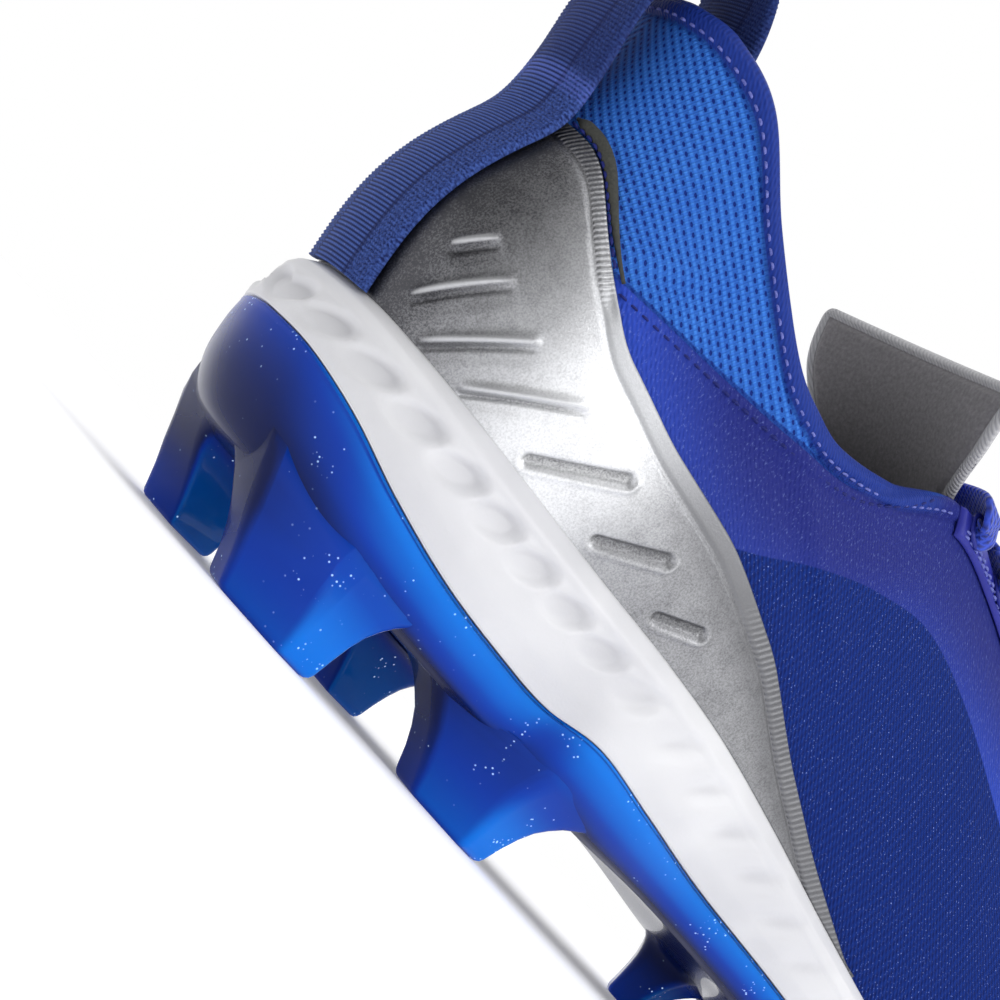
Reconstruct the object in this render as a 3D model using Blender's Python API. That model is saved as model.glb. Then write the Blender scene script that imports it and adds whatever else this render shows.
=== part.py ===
import bpy
import bmesh
import math
import numpy as np
from mathutils import Vector

# Right softball cleat, standing on its studs.
# +X is the outer (lateral) side, +Y runs from heel to toe, +Z is up.
# Sizes in the tables are millimetres and MM turns them into metres.

MM = 0.001

FIT_GAP = 0.3            # space left between pieces that touch
PLATE = 2.8              # thickness of the outsole plate
CUP_WALL = 1.9           # thickness of the outsole side
LIP = 2.0                # width of the midsole lip round the upper
BED_DEPTH = 6.5          # bed of the midsole below its rim
FLUTE = 0.55             # depth of the midsole side flutes
INSOLE = 3.4             # thickness of the insole
COUNTER_SKIN = 1.0       # thickness of the heel counter overlay
EYESTAY_SKIN = 0.9       # thickness of the eyestay overlay
TONGUE_PAD = 4.6         # thickness of the tongue
WEB_HALF = 9.3           # half the width of the heel webbing
WEB_SKIN = 1.5           # thickness of the heel webbing
LACE_HALF = 3.2          # half the width of a lace
LACE_SKIN = 1.5          # thickness of a lace

# One row for each section of the sole from heel to toe.
# y: station. lat, med: outline at the widest. ground: underside of the plate.
# edge: top of the outsole side. tuck: its inset. rim: top of the midsole. lean: its inset.
SOLE_COLUMNS = ("y", "lat", "med", "ground", "edge", "tuck", "rim", "lean")
SOLE = (
    (0, 0, 0, 13.0, 30.0, 0.8, 40.0, 3.0),
    (3, 13.5, -13.5, 13.0, 29.5, 0.8, 40.0, 3.2),
    (10, 23.3, -23.3, 13.0, 27.5, 1.0, 39.6, 4.0),
    (20, 29.8, -29.8, 13.0, 24.3, 1.1, 39.2, 4.4),
    (34, 33.2, -33.2, 13.0, 22.0, 2.0, 38.8, 3.8),
    (50, 34.6, -34.2, 13.0, 21.4, 3.8, 38.5, 2.4),
    (59, 35.2, -33.8, 13.0, 21.6, 3.6, 38.5, 1.6),
    (68, 36.0, -33.2, 13.0, 23.4, -0.6, 38.4, 1.2),
    (84, 36.6, -31.6, 13.3, 22.6, 0.8, 37.8, 1.2),
    (104, 36.8, -29.6, 14.5, 21.6, 3.6, 35.8, 1.6),
    (128, 38.2, -29.2, 14.5, 21.0, 3.2, 32.4, 2.0),
    (155, 41.6, -33.0, 13.0, 19.5, 2.0, 28.6, 2.0),
    (182, 45.2, -41.0, 12.2, 18.6, 1.5, 26.2, 2.0),
    (208, 46.5, -46.5, 12.0, 18.6, 1.2, 25.2, 2.0),
    (232, 43.4, -47.6, 13.3, 20.0, 1.0, 26.2, 2.0),
    (252, 35.6, -44.0, 16.0, 23.5, 0.9, 29.2, 2.0),
    (266, 25.8, -38.6, 19.5, 27.5, 0.8, 33.0, 2.0),
    (275, 10.8, -28.6, 22.5, 31.0, 0.8, 36.2, 2.0),
    (279, -9.0, -9.0, 24.0, 32.5, 0.8, 37.6, 2.0),
)

# One row for each section of the upper, at the stations of the sole.
# y, lat, med, top: the edge of the opening. round: 2 is a straight wall, 1 an arch.
# swell: fullness of the whole wall. hollow: full below and drawn in above. pad: wall at the edge.
UPPER_COLUMNS = ("y", "lat", "med", "top", "round", "swell", "hollow", "pad")
UPPER = (
    (6.0, 0, 0, 101.0, 2.0, 1.0, 2.6, 6.6),
    (6.9, 6.8, -6.8, 101.0, 2.0, 1.0, 2.6, 6.6),
    (11.0, 14.0, -14.0, 100.6, 2.0, 1.2, 2.4, 6.8),
    (19.5, 20.3, -20.3, 97.6, 2.0, 1.8, 2.0, 7.2),
    (32.0, 25.0, -25.0, 88.0, 2.0, 2.2, 1.6, 7.6),
    (47.5, 28.2, -27.6, 79.6, 1.95, 2.4, 1.2, 7.6),
    (56.5, 29.2, -28.0, 77.6, 1.9, 2.3, 0.9, 7.4),
    (65.0, 29.0, -27.8, 78.0, 1.85, 2.1, 0.6, 7.0),
    (78.0, 27.0, -26.0, 83.0, 1.75, 1.6, 0.2, 5.6),
    (92.0, 23.2, -22.6, 91.6, 1.55, 1.2, 0.0, 3.6),
    (108.0, 20.4, -20.4, 91.0, 1.35, 1.0, 0.0, 2.4),
    (127.0, 18.4, -19.4, 86.0, 1.2, 1.0, 0.0, 2.2),
    (146.0, 16.0, -18.4, 79.6, 1.12, 1.0, 0.0, 2.2),
    (163.0, 13.0, -17.0, 73.4, 1.08, 1.0, 0.0, 2.2),
    (177.0, 8.8, -14.6, 68.4, 1.02, 0.8, 0.0, 2.2),
    (186.0, 4.0, -11.4, 65.6, 1.0, 0.4, 0.0, 2.2),
    (189.6, -0.2, -8.2, 64.4, 0.97, 0.2, 0.0, 2.2),
    (190.8, -2.4, -5.8, 64.1, 0.96, 0.0, 0.0, 2.2),
    (191.0, -4.0, -4.0, 64.0, 0.95, 0.0, 0.0, 2.2),
)

# Upper edge of the heel counter from the heel seam forward.
COUNTER_COLUMNS = ("y", "top")
COUNTER = ((0, 77.0), (8, 76.0), (17, 67.0), (27, 60.5), (42, 57.5), (60, 56.0),
           (80, 51.5), (98, 44.4), (114, 39.0), (134, 33.6))

# Line of the tongue from its root under the vamp to its free end.
TONGUE_COLUMNS = ("y", "crown", "half", "drop", "shift")
TONGUE = (
    (200.0, 56.4, 11.0, 3.0, -5.0),
    (184.0, 60.6, 14.0, 4.5, -4.5),
    (168.0, 66.4, 16.5, 6.5, -3.0),
    (150.0, 74.0, 18.5, 8.0, -1.6),
    (130.0, 82.4, 17.0, 7.0, -0.8),
    (112.0, 89.4, 16.0, 5.0, 0.0),
    (100.0, 95.6, 17.6, 4.6, 0.2),
    (91.5, 103.6, 24.0, 5.2, 0.3),
    (87.5, 111.6, 26.0, 5.0, 0.3),
)

# Pull loop above the heel strip, in the plane of the heel seam.
LOOP_COLUMNS = ("y", "z")
LOOP = ((1.2, 84.0), (-0.6, 95.0), (0.6, 106.0), (4.6, 113.4), (10.6, 113.8), (14.2, 108.4),
        (15.2, 100.0), (15.4, 92.0))
LOOP_BOW = 7.0           # how far the edges of its inner end curve with the collar

# Wedge studs. x, y: middle of the tip. tip and base sizes run across and along the shoe.
# rake: how far the base lies behind the tip. turn: degrees that the wedge is turned outwards.
STUD_COLUMNS = ("x", "y", "tip_wide", "tip_long", "base_wide", "base_long", "rake", "turn", "lift")
STUDS = (
    (18.0, 26.0, 19.0, 16.0, 21.0, 26.0, 4.0, 0, 0),
    (-18.0, 26.0, 19.0, 16.0, 21.0, 26.0, 4.0, 0, 0),
    (21.5, 68.0, 16.0, 14.0, 21.0, 26.0, 3.0, -6, 0),
    (-19.5, 68.0, 16.0, 14.0, 20.0, 26.0, 3.0, 6, 0),
    (29.0, 160.0, 11.0, 13.0, 17.0, 22.0, -2.5, 12, 0),
    (-22.0, 168.0, 11.0, 13.0, 17.0, 22.0, -2.5, -12, 0),
    (31.0, 196.0, 11.0, 13.0, 16.0, 21.0, -2.5, 8, 0),
    (-32.0, 202.0, 11.0, 13.0, 16.0, 21.0, -2.5, -8, 0),
    (25.0, 229.0, 9.0, 10.0, 14.0, 18.0, -2.0, -12, 2.2),
    (-32.0, 232.0, 9.0, 10.0, 14.0, 18.0, -2.0, 12, 2.4),
    (-5.0, 250.0, 11.0, 8.0, 16.0, 15.0, -2.0, 0, 5.4),
)
# Plan of a wedge in shares of its width and length, from its inner rear corner round the front.
WEDGE = ((-0.5, -0.34), (-0.14, 0.42), (0.44, 0.5), (0.5, 0.06), (0.02, -0.5))

WINDOW = ((-5.0, 46.0), (9.0, 42.0), (4.6, 78.0))          # cut-out at the waist of the plate
CHANNEL = ((-13.0, 43.0), (0.0, 33.0), (15.0, 40.0), (6.0, 104.0), (-8.0, 104.0))
CHANNEL_DEPTH = 1.2
EYELETS = (9.35, 10.15, 10.95, 11.75, 12.55, 13.35)          # eyelet rows, in section numbers
EYELET_LEVEL = 0.9

LAST_ROW = len(SOLE) - 1

BLUE = (0.006, 0.028, 0.30)
WHITE = (0.74, 0.74, 0.76)
SILVER = (0.46, 0.46, 0.48)
KNIT = (0.014, 0.055, 0.28)
VIOLET = (0.045, 0.06, 0.36)
NAVY = (0.008, 0.014, 0.09)
LINING = (0.05, 0.048, 0.055)
CORD = (0.015, 0.05, 0.30)


def spline(rows, place):
    # Smooth curve through evenly numbered rows.
    rows = np.asarray(rows, float)
    last = len(rows) - 1
    k = int(min(max(math.floor(place), 0), last - 1))
    f = place - k
    before = rows[k - 1] if k > 0 else 2 * rows[0] - rows[1]
    after = rows[k + 2] if k + 2 <= last else 2 * rows[last] - rows[last - 1]
    a = rows[k]
    b = rows[k + 1]
    return a + 0.5 * f * (b - before + f * (2 * before - 5 * a + 4 * b - after
                                            + f * (3 * (a - b) + after - before)))


def column(table, names, name, place):
    return float(spline([row[names.index(name)] for row in table], place))


def side_points(table, names, side):
    # Plan points of one side, carried round both ends so that the ends stay round.
    near = names.index("lat" if side > 0 else "med")
    far = names.index("med" if side > 0 else "lat")
    long = names.index("y")
    first = [(table[1][far], table[1][long])]
    middle = [(row[near], row[long]) for row in table]
    end = [(table[-2][far], table[-2][long])]
    return first + middle + end


SOLE_SIDE = {side: side_points(SOLE, SOLE_COLUMNS, side) for side in (1, -1)}
OPEN_SIDE = {side: side_points(UPPER, UPPER_COLUMNS, side) for side in (1, -1)}


def outline(place, side):
    # Point on the sole outline and its outward direction.
    here = spline(SOLE_SIDE[side], place + 1)
    ahead = spline(SOLE_SIDE[side], min(place + 1.01, LAST_ROW + 1.99))
    behind = spline(SOLE_SIDE[side], max(place + 0.99, 0.01))
    run = ahead - behind
    out = np.array((run[1], -run[0])) * side
    return here, out / np.linalg.norm(out)


def sole(name, place):
    return column(SOLE, SOLE_COLUMNS, name, place)


def shape(name, place):
    return column(UPPER, UPPER_COLUMNS, name, place)


def inset_point(place, side, inset, z):
    here, out = outline(place, side)
    return np.array((here[0] - out[0] * inset, here[1] - out[1] * inset, z))


def wall_point(place, side, level):
    # Outer face of the upper: level 0 is the midsole rim, 1 the edge of the opening.
    here, out = outline(place, side)
    base = inset_point(place, side, sole("lean", place) + LIP + FIT_GAP, sole("rim", place))
    edge = spline(OPEN_SIDE[side], place + 1)
    top = np.array((edge[0], edge[1], shape("top", place)))
    bend = shape("round", place)
    angle = min(max(level, 0.0), 1.0) * math.pi / 2
    reach = 1 - math.cos(angle) ** bend if angle < math.pi / 2 - 1e-9 else 1.0
    rise = math.sin(angle) ** bend
    full = shape("swell", place) * math.sin(math.pi * rise)
    full += shape("hollow", place) * math.sin(2 * math.pi * rise)
    point = base + (top - base) * np.array((reach, reach, rise))
    point[0] += out[0] * full
    point[1] += out[1] * full
    return point


def wall_normal(place, side, level):
    # Outward direction of the upper, from the two ways along its face.
    low = max(level - 0.01, 0.0)
    high = min(level + 0.01, 1.0)
    up = wall_point(place, side, high) - wall_point(place, side, low)
    if place < 0.02 or place > LAST_ROW - 0.02:
        step = 0.02 if place < 0.02 else LAST_ROW - 0.02
        along = wall_point(step, 1, level) - wall_point(step, -1, level)
        along = along if place < 0.02 else -along
        along = along * side
    else:
        along = wall_point(place + 0.01, side, level) - wall_point(place - 0.01, side, level)
    out = np.cross(along, up) * side
    return out / np.linalg.norm(out)


def wall_thick(place, level):
    # The wall is thin below and swells into the collar padding.
    pad = shape("pad", place)
    swell = min(max((level - 0.45) / 0.4, 0.0), 1.0)
    return 2.2 + (pad - 2.2) * swell * swell * (3 - 2 * swell)


def off_wall(place, side, level, lift):
    return wall_point(place, side, level) + wall_normal(place, side, level) * lift


def level_at(place, z):
    # Level of the wall at a given height.
    rise = (z - sole("rim", place)) / (shape("top", place) - sole("rim", place))
    rise = min(max(rise, 0.0), 1.0)
    return 2 / math.pi * math.asin(rise ** (1 / shape("round", place)))


def loop_places(steps):
    # Walk round the shoe: heel tip, outer side, toe tip, inner side.
    there = [(p, 1) for p in steps]
    back = [(p, -1) for p in reversed(steps[1:-1])]
    return there + back


def spread(first, last, each):
    # Section numbers from one row to another with a number of steps in each row.
    count = int(round((last - first) * each))
    return [first + (last - first) * i / count for i in range(count + 1)]


def make_object(name, points, faces, colour, rough, metal=0.0, smooth=True):
    mesh = bpy.data.meshes.new(name)
    mesh.from_pydata([tuple(float(c) * MM for c in p) for p in points], [], faces)
    body = bmesh.new()
    body.from_mesh(mesh)
    bmesh.ops.remove_doubles(body, verts=body.verts, dist=0.00001)
    bmesh.ops.recalc_face_normals(body, faces=body.faces)
    bmesh.ops.triangulate(body, faces=body.faces)
    body.to_mesh(mesh)
    body.free()
    thing = bpy.data.objects.new(name, mesh)
    bpy.context.scene.collection.objects.link(thing)
    for face in mesh.polygons:
        face.use_smooth = smooth
    paint(thing, colour, rough, metal)
    return thing


def paint(thing, colour, rough, metal=0.0):
    stuff = bpy.data.materials.new(thing.name + "_material")
    stuff.use_nodes = True
    shader = stuff.node_tree.nodes["Principled BSDF"]
    shader.inputs["Base Color"].default_value = (colour[0], colour[1], colour[2], 1.0)
    shader.inputs["Roughness"].default_value = rough
    shader.inputs["Metallic"].default_value = metal
    stuff.diffuse_color = (colour[0], colour[1], colour[2], 1.0)
    thing.data.materials.append(stuff)


def boolean(thing, cutter, kind):
    # Join or cut, then drop the tool body.
    change = thing.modifiers.new("change", "BOOLEAN")
    change.operation = kind
    change.solver = "EXACT"
    change.object = cutter
    bpy.context.view_layer.update()
    graph = bpy.context.evaluated_depsgraph_get()
    result = bpy.data.meshes.new_from_object(thing.evaluated_get(graph))
    thing.modifiers.remove(change)
    thing.data = result
    bpy.data.objects.remove(cutter, do_unlink=True)


def ring_body(name, steps, rings, caps, across, colour, rough):
    # Closed body from rings stacked round the shoe, with a ladder of rungs over both ends.
    # A ring is a function of section and side. A cap gives the height added over a rung.
    walk = loop_places(steps)
    size = len(walk)
    half = len(steps)
    points = []
    faces = []
    for ring in rings:
        points += [ring(p, s) for p, s in walk]
    for k in range(len(rings) - 1):
        for i in range(size):
            j = (i + 1) % size
            faces.append((k * size + i, k * size + j, (k + 1) * size + j, (k + 1) * size + i))
    for k, cap in ((0, caps[0]), (len(rings) - 1, caps[1])):
        rungs = []
        for i in range(half):
            right = k * size + i
            left = k * size + (size - i) % size
            if i in (0, half - 1):
                rungs.append([right] * (across + 1))
                continue
            rung = [right]
            for c in range(1, across):
                f = c / across
                point = points[right] * (1 - f) + points[left] * f
                points.append(point + np.array((0, 0, cap(steps[i], f))))
                rung.append(len(points) - 1)
            rungs.append(rung + [left])
        for i in range(half - 1):
            for c in range(across):
                corners = (rungs[i][c], rungs[i][c + 1], rungs[i + 1][c + 1], rungs[i + 1][c])
                unique = []
                for corner in corners:
                    if corner not in unique:
                        unique.append(corner)
                if len(unique) > 2:
                    faces.append(tuple(unique))
    return make_object(name, points, faces, colour, rough)


def sheet_body(name, columns, colour, rough, metal=0.0, closed=False):
    # Closed body from a row of closed sections that each have the same number of points.
    count = len(columns[0])
    points = [p for section in columns for p in section]
    faces = []
    last = len(columns) if closed else len(columns) - 1
    for k in range(last):
        n = (k + 1) % len(columns)
        for i in range(count):
            j = (i + 1) % count
            faces.append((k * count + i, k * count + j, n * count + j, n * count + i))
    if not closed:
        end = (len(columns) - 1) * count
        half = count // 2
        for start in (0, end):
            for i in range(half - 1):
                faces.append((start + i, start + i + 1, start + count - 2 - i, start + count - 1 - i))
    return make_object(name, points, faces, colour, rough, metal)


def heel_pull(place):
    # 1 at the back of the heel, falling to 0 along the sides.
    f = min(max(1 - place / 4.0, 0.0), 1.0)
    return f * f * (3 - 2 * f)


def cup_ring(inset, rise, wall):
    # Ring of the outsole: inset and rise are shares of the bowl, wall is the distance inwards.
    def ring(place, side):
        ground = sole("ground", place)
        tall = sole("edge", place) - ground
        deep = (10.0 + 3.0 * heel_pull(place)) * inset
        tuck = sole("tuck", place)
        z = ground + tall * rise
        return inset_point(place, side, tuck * (1 - inset) + deep + wall, z)
    return ring


def flute(place, index):
    # Alternate steps of the midsole side stand in and out, fading along the shoe.
    fade = min(max((10.5 - place) / 3.0, 0.0), 1.0)
    return FLUTE * fade * (index % 2)


def build_outsole():
    steps = spread(0, 1, 2) + spread(1, 5, 2)[1:] + spread(5, 8, 3)[1:] + spread(8, 18, 1.5)[1:]

    def inner(inset, rise, wall, lift):
        outer = cup_ring(inset, rise, wall)

        def ring(place, side):
            return outer(place, side) + np.array((0, 0, lift))
        return ring

    rings = (
        cup_ring(1.0, 0.0, 0.0),
        cup_ring(0.52, 0.13, 0.0),
        cup_ring(0.2, 0.42, 0.0),
        cup_ring(0.05, 0.75, 0.0),
        cup_ring(0.0, 1.0, 0.25),
        cup_ring(0.0, 1.0, CUP_WALL),
        inner(0.2, 0.42, CUP_WALL, 0.7),
        inner(0.52, 0.13, 1.5, 2.0),
        inner(1.0, 0.0, 1.2, PLATE),
    )
    plate = ring_body("outsole", steps, rings, (arch, arch), 3, BLUE, 0.12)
    for stud in STUDS:
        boolean(plate, build_stud(stud), "UNION")
    boolean(plate, prism("channel", CHANNEL, 9.0, 13.0 + CHANNEL_DEPTH, 14.5 + CHANNEL_DEPTH), "DIFFERENCE")
    boolean(plate, prism("window", WINDOW, 8.0, 20.0, 20.0), "DIFFERENCE")
    return plate


def arch(place, f):
    # The waist of the plate is raised a little along its middle.
    waist = math.exp(-((place - 9.2) / 1.6) ** 2)
    return 1.0 * waist * math.sin(math.pi * f)


def prism(name, corners, bottom, top_near, top_far):
    # Upright cutter with a top that may slope along the shoe.
    low = min(y for x, y in corners)
    high = max(y for x, y in corners)
    count = len(corners)
    points = [np.array((x, y, bottom)) for x, y in corners]
    for x, y in corners:
        share = (y - low) / (high - low)
        points.append(np.array((x, y, top_near + (top_far - top_near) * share)))
    faces = [tuple(range(count)), tuple(range(count, 2 * count))]
    for i in range(count):
        j = (i + 1) % count
        faces.append((i, j, count + j, count + i))
    cutter = make_object(name, points, faces, BLUE, 0.5, smooth=False)
    cutter.hide_render = True
    cutter.display_type = "WIRE"
    return cutter


def place_of(y):
    # Section number at a distance from the heel.
    stations = [row[0] for row in SOLE]
    return float(np.interp(y, stations, range(len(stations))))


def cup_height(x, y):
    # Height of the outsole's underside at a plan position, from its distance to the outline.
    best = None
    for k in range(4 * LAST_ROW + 1):
        for side in (1, -1):
            here, out = outline(k / 4, side)
            away = math.hypot(here[0] - x, here[1] - y)
            if best is None or away < best[0]:
                best = (away, k / 4)
    away, place = best
    ground = sole("ground", place_of(y))
    share = (away - sole("tuck", place)) / (10.0 + 3.0 * heel_pull(place))
    rise = np.interp(share, (0.0, 0.05, 0.2, 0.52, 1.0), (1.0, 0.75, 0.42, 0.13, 0.0))
    return ground + max(sole("edge", place) - ground, 0.0) * float(rise)


def build_stud(row):
    # Faceted wedge: a five-sided foot that leans into a smaller chiselled tip.
    spec = dict(zip(STUD_COLUMNS, row))
    ground = sole("ground", place_of(spec["y"]))
    turn = math.radians(spec["turn"])
    side = 1 if spec["x"] >= 0 else -1

    def layer(wide, long, slide, z):
        made = []
        for a, b in WEDGE:
            outward = a * wide * side
            forward = b * long
            x = spec["x"] + outward * math.cos(turn) + forward * math.sin(turn)
            y = spec["y"] + slide + forward * math.cos(turn) - outward * math.sin(turn)
            made.append(np.array((x, y, z)))
        return made

    layers = [
        layer(spec["tip_wide"] - 2.4, spec["tip_long"] - 2.4, 0.0, spec["lift"]),
        layer(spec["tip_wide"], spec["tip_long"], 0.0, spec["lift"] + 1.2),
        layer(spec["base_wide"] - 3.0, spec["base_long"] - 5.0, -spec["rake"] * 0.75, ground - 2.4),
        layer(spec["base_wide"], spec["base_long"], -spec["rake"], ground),
    ]
    for point in layers[3]:
        point[2] = min(cup_height(point[0], point[1]), ground + 4.0) + 0.6
    count = len(WEDGE)
    points = [p for made in layers for p in made]
    points.append(np.array((spec["x"], spec["y"] - spec["rake"], ground + 0.6)))
    faces = [tuple(range(count))]
    faces += [(3 * count + i, 3 * count + (i + 1) % count, 4 * count) for i in range(count)]
    for k in range(3):
        for i in range(count):
            j = (i + 1) % count
            faces.append((k * count + i, k * count + j, (k + 1) * count + j, (k + 1) * count + i))
    return make_object("stud", points, faces, BLUE, 0.12, smooth=False)


def build_midsole():
    steps = spread(0, 4, 3) + spread(4, 10, 4)[1:] + spread(10, 14, 1.5)[1:] + spread(14, 18, 2)[1:]
    order = {p: i for i, p in enumerate(steps)}
    gap = FIT_GAP

    def low(inset, rise, wall, lift):
        outer = cup_ring(inset, rise, wall + gap)

        def ring(place, side):
            return outer(place, side) + np.array((0, 0, lift + gap))
        return ring

    def wall(share, out):
        def ring(place, side):
            z = sole("edge", place) + gap + (sole("rim", place) - sole("edge", place) - gap) * share
            inset = sole("tuck", place) * max(0.0, 0.7 - share) + sole("lean", place) * share ** 2 - out
            groove = flute(place, order[place]) if 0.1 < share < 0.95 else 0.0
            return inset_point(place, side, inset + groove, z)
        return ring

    def lip(place, side):
        return inset_point(place, side, sole("lean", place) + LIP, sole("rim", place))

    def bed(place, side):
        return inset_point(place, side, sole("lean", place) + LIP, sole("rim", place) - BED_DEPTH)

    rings = (
        low(1.0, 0.0, 1.2, PLATE),
        low(0.52, 0.13, 1.5, 2.0),
        low(0.2, 0.42, CUP_WALL, 0.7),
        low(0.0, 1.0, CUP_WALL, 0.0),
        wall(0.0, 0.0),
        wall(0.25, 0.5),
        wall(0.85, 0.4),
        wall(1.0, -0.6),
        lip,
        bed,
    )
    return ring_body("midsole", steps, rings, (arch, flat), 3, WHITE, 0.55)


def flat(place, f):
    return 0.0


def build_insole():
    steps = spread(0, 2, 2) + spread(2, 18, 1)[1:]

    def ring(inset, lift):
        def at(place, side):
            z = sole("rim", place) - BED_DEPTH + FIT_GAP + lift
            return inset_point(place, side, sole("lean", place) + LIP + 3.4 + inset, z)
        return at

    rings = (ring(0.0, 0.0), ring(0.0, INSOLE - 0.8), ring(0.8, INSOLE))
    return ring_body("insole", steps, rings, (flat, flat), 3, LINING, 0.9)


def build_upper():
    # One hollow shell: skirt inside the lip, wall, padded edge, and the same again inside.
    steps = spread(0, 2, 3) + spread(2, 18, 2)[1:]
    levels = (0.0, 0.1, 0.2, 0.31, 0.43, 0.55, 0.68, 0.83, 0.97)
    columns = []
    for place, side in loop_places(steps):
        section = [inset_point(place, side, sole("lean", place) + LIP + FIT_GAP,
                               sole("rim", place) - BED_DEPTH + FIT_GAP)]
        section += [wall_point(place, side, level) for level in levels]
        crown = wall_point(place, side, 1.0)
        out = wall_normal(place, side, 0.97)
        thick = wall_thick(place, 1.0)
        up = wall_point(place, side, 1.0) - wall_point(place, side, 0.97)
        up = up / np.linalg.norm(up)
        section.append(crown - out * thick * 0.22 + up * thick * 0.1)
        section.append(crown - out * thick * 0.62 + up * thick * 0.1)
        section += [off_wall(place, side, level, -wall_thick(place, level)) for level in reversed(levels)]
        section.append(inset_point(place, side, sole("lean", place) + LIP + FIT_GAP + 2.2,
                                   sole("rim", place) - BED_DEPTH + FIT_GAP))
        columns.append(section)
    return sheet_body("upper", columns, KNIT, 0.8, closed=True)


def skin(name, places, low, high, rise, thick, steps, colour, rough, metal=0.0):
    # Overlay cut from the upper's own face between two levels.
    columns = []
    for place, side in places:
        bottom = low(place)
        top = high(place)
        levels = [bottom + (top - bottom) * i / steps for i in range(steps + 1)]
        outer = [off_wall(place, side, level, rise + thick) for level in levels]
        inner = [off_wall(place, side, level, rise) for level in reversed(levels)]
        columns.append(outer + inner)
    return sheet_body(name, columns, colour, rough, metal)


def counter_top(place):
    y = sole("y", place)
    z = np.interp(y, [row[0] for row in COUNTER], [row[1] for row in COUNTER])
    return level_at(place, max(float(z), sole("rim", place) + 2.0))


def counter_foot(place):
    return level_at(place, sole("rim", place) + 3 * FIT_GAP)


def build_counter():
    steps = spread(0, 2, 3) + spread(2, 4, 2)[1:] + spread(4, 10.4, 1.25)[1:]
    places = [(p, -1) for p in reversed(steps[1:])] + [(p, 1) for p in steps]
    return skin("heel_counter", places, counter_foot, counter_top, FIT_GAP, COUNTER_SKIN, 5,
                SILVER, 0.35, 0.7)


def build_eyestay():
    steps = spread(9.0, 18, 2)
    places = [(p, 1) for p in steps] + [(p, -1) for p in reversed(steps[:-1])]

    def low(place):
        return 0.8 + 0.08 * min(max((place - 13) / 4, 0), 1)

    def high(place):
        return 0.97
    return skin("eyestay", places, low, high, FIT_GAP, EYESTAY_SKIN, 2, VIOLET, 0.6)


def build_tongue():
    columns = []
    count = len(TONGUE)
    across = 6
    for k in range(2 * count - 1):
        y, crown, half, drop, shift = spline(TONGUE, k / 2)
        ahead = spline(TONGUE, min(k / 2 + 0.05, count - 1))
        behind = spline(TONGUE, max(k / 2 - 0.05, 0))
        run = np.array((0.0, ahead[0] - behind[0], ahead[1] - behind[1]))
        run = run / np.linalg.norm(run)
        up = np.array((0.0, -run[2], run[1]))
        up = up if up[2] > 0 else -up
        top = []
        under = []
        for i in range(across + 1):
            a = -1 + 2 * i / across
            point = np.array((shift + a * half, y, crown)) - up * drop * abs(a) ** 2.2
            thick = TONGUE_PAD * (1 - 0.55 * abs(a) ** 4)
            top.append(point)
            under.append(point - up * thick)
        columns.append(top + list(reversed(under)))
    return sheet_body("tongue", columns, KNIT, 0.85)


def build_pull_loop():
    # Webbing up the heel seam over the counter, then folded over as a finger loop.
    across = 4
    columns = []
    first = level_at(0.0, sole("rim", 0.0) + 0.8)
    last = level_at(0.0, 75.0)
    rise = FIT_GAP + COUNTER_SKIN + FIT_GAP
    strip = 7
    for k in range(strip):
        level = first + (last - first) * k / (strip - 1)
        section = []
        for lift in (rise + WEB_SKIN, rise):
            row = []
            for i in range(across + 1):
                a = -1 + 2 * i / across
                side = 1 if a >= 0 else -1
                place = web_place(abs(a) * WEB_HALF, level)
                row.append(off_wall(place, side, level, lift))
            section += row if lift > rise else list(reversed(row))
        columns.append(section)
    path = [spline(LOOP, k / 2) for k in range(2 * len(LOOP) - 1)]
    for k, here in enumerate(path):
        ahead = path[min(k + 1, len(path) - 1)]
        behind = path[max(k - 1, 0)]
        run = (ahead - behind) / np.linalg.norm(ahead - behind)
        out = np.array((-run[1], run[0]))
        section = []
        for lift in (WEB_SKIN / 2, -WEB_SKIN / 2):
            row = []
            for i in range(across + 1):
                a = -1 + 2 * i / across
                bow = (3.0 * max(0.0, 1 - k / 3.0) + LOOP_BOW * max(0.0, 1 - (len(path) - 1 - k) / 5.0)) * a * a
                row.append(np.array((a * WEB_HALF, here[0] + out[0] * lift + bow, here[1] + out[1] * lift)))
            section += row if lift > 0 else list(reversed(row))
        columns.append(section)
    return sheet_body("pull_loop", columns, NAVY, 0.85)


def web_place(x, level):
    # Section number at which the heel face is a given distance from the seam.
    low = 0.0
    high = 4.0
    for _ in range(30):
        middle = (low + high) / 2
        if wall_point(middle, 1, level)[0] < x:
            low = middle
        else:
            high = middle
    return low


def eyelet_point(row, side):
    return off_wall(row, side, EYELET_LEVEL, FIT_GAP + EYESTAY_SKIN + 4 * FIT_GAP)


def tongue_height(y):
    ys = [row[0] for row in reversed(TONGUE)]
    zs = [row[1] for row in reversed(TONGUE)]
    return float(np.interp(y, ys, zs))


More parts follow.
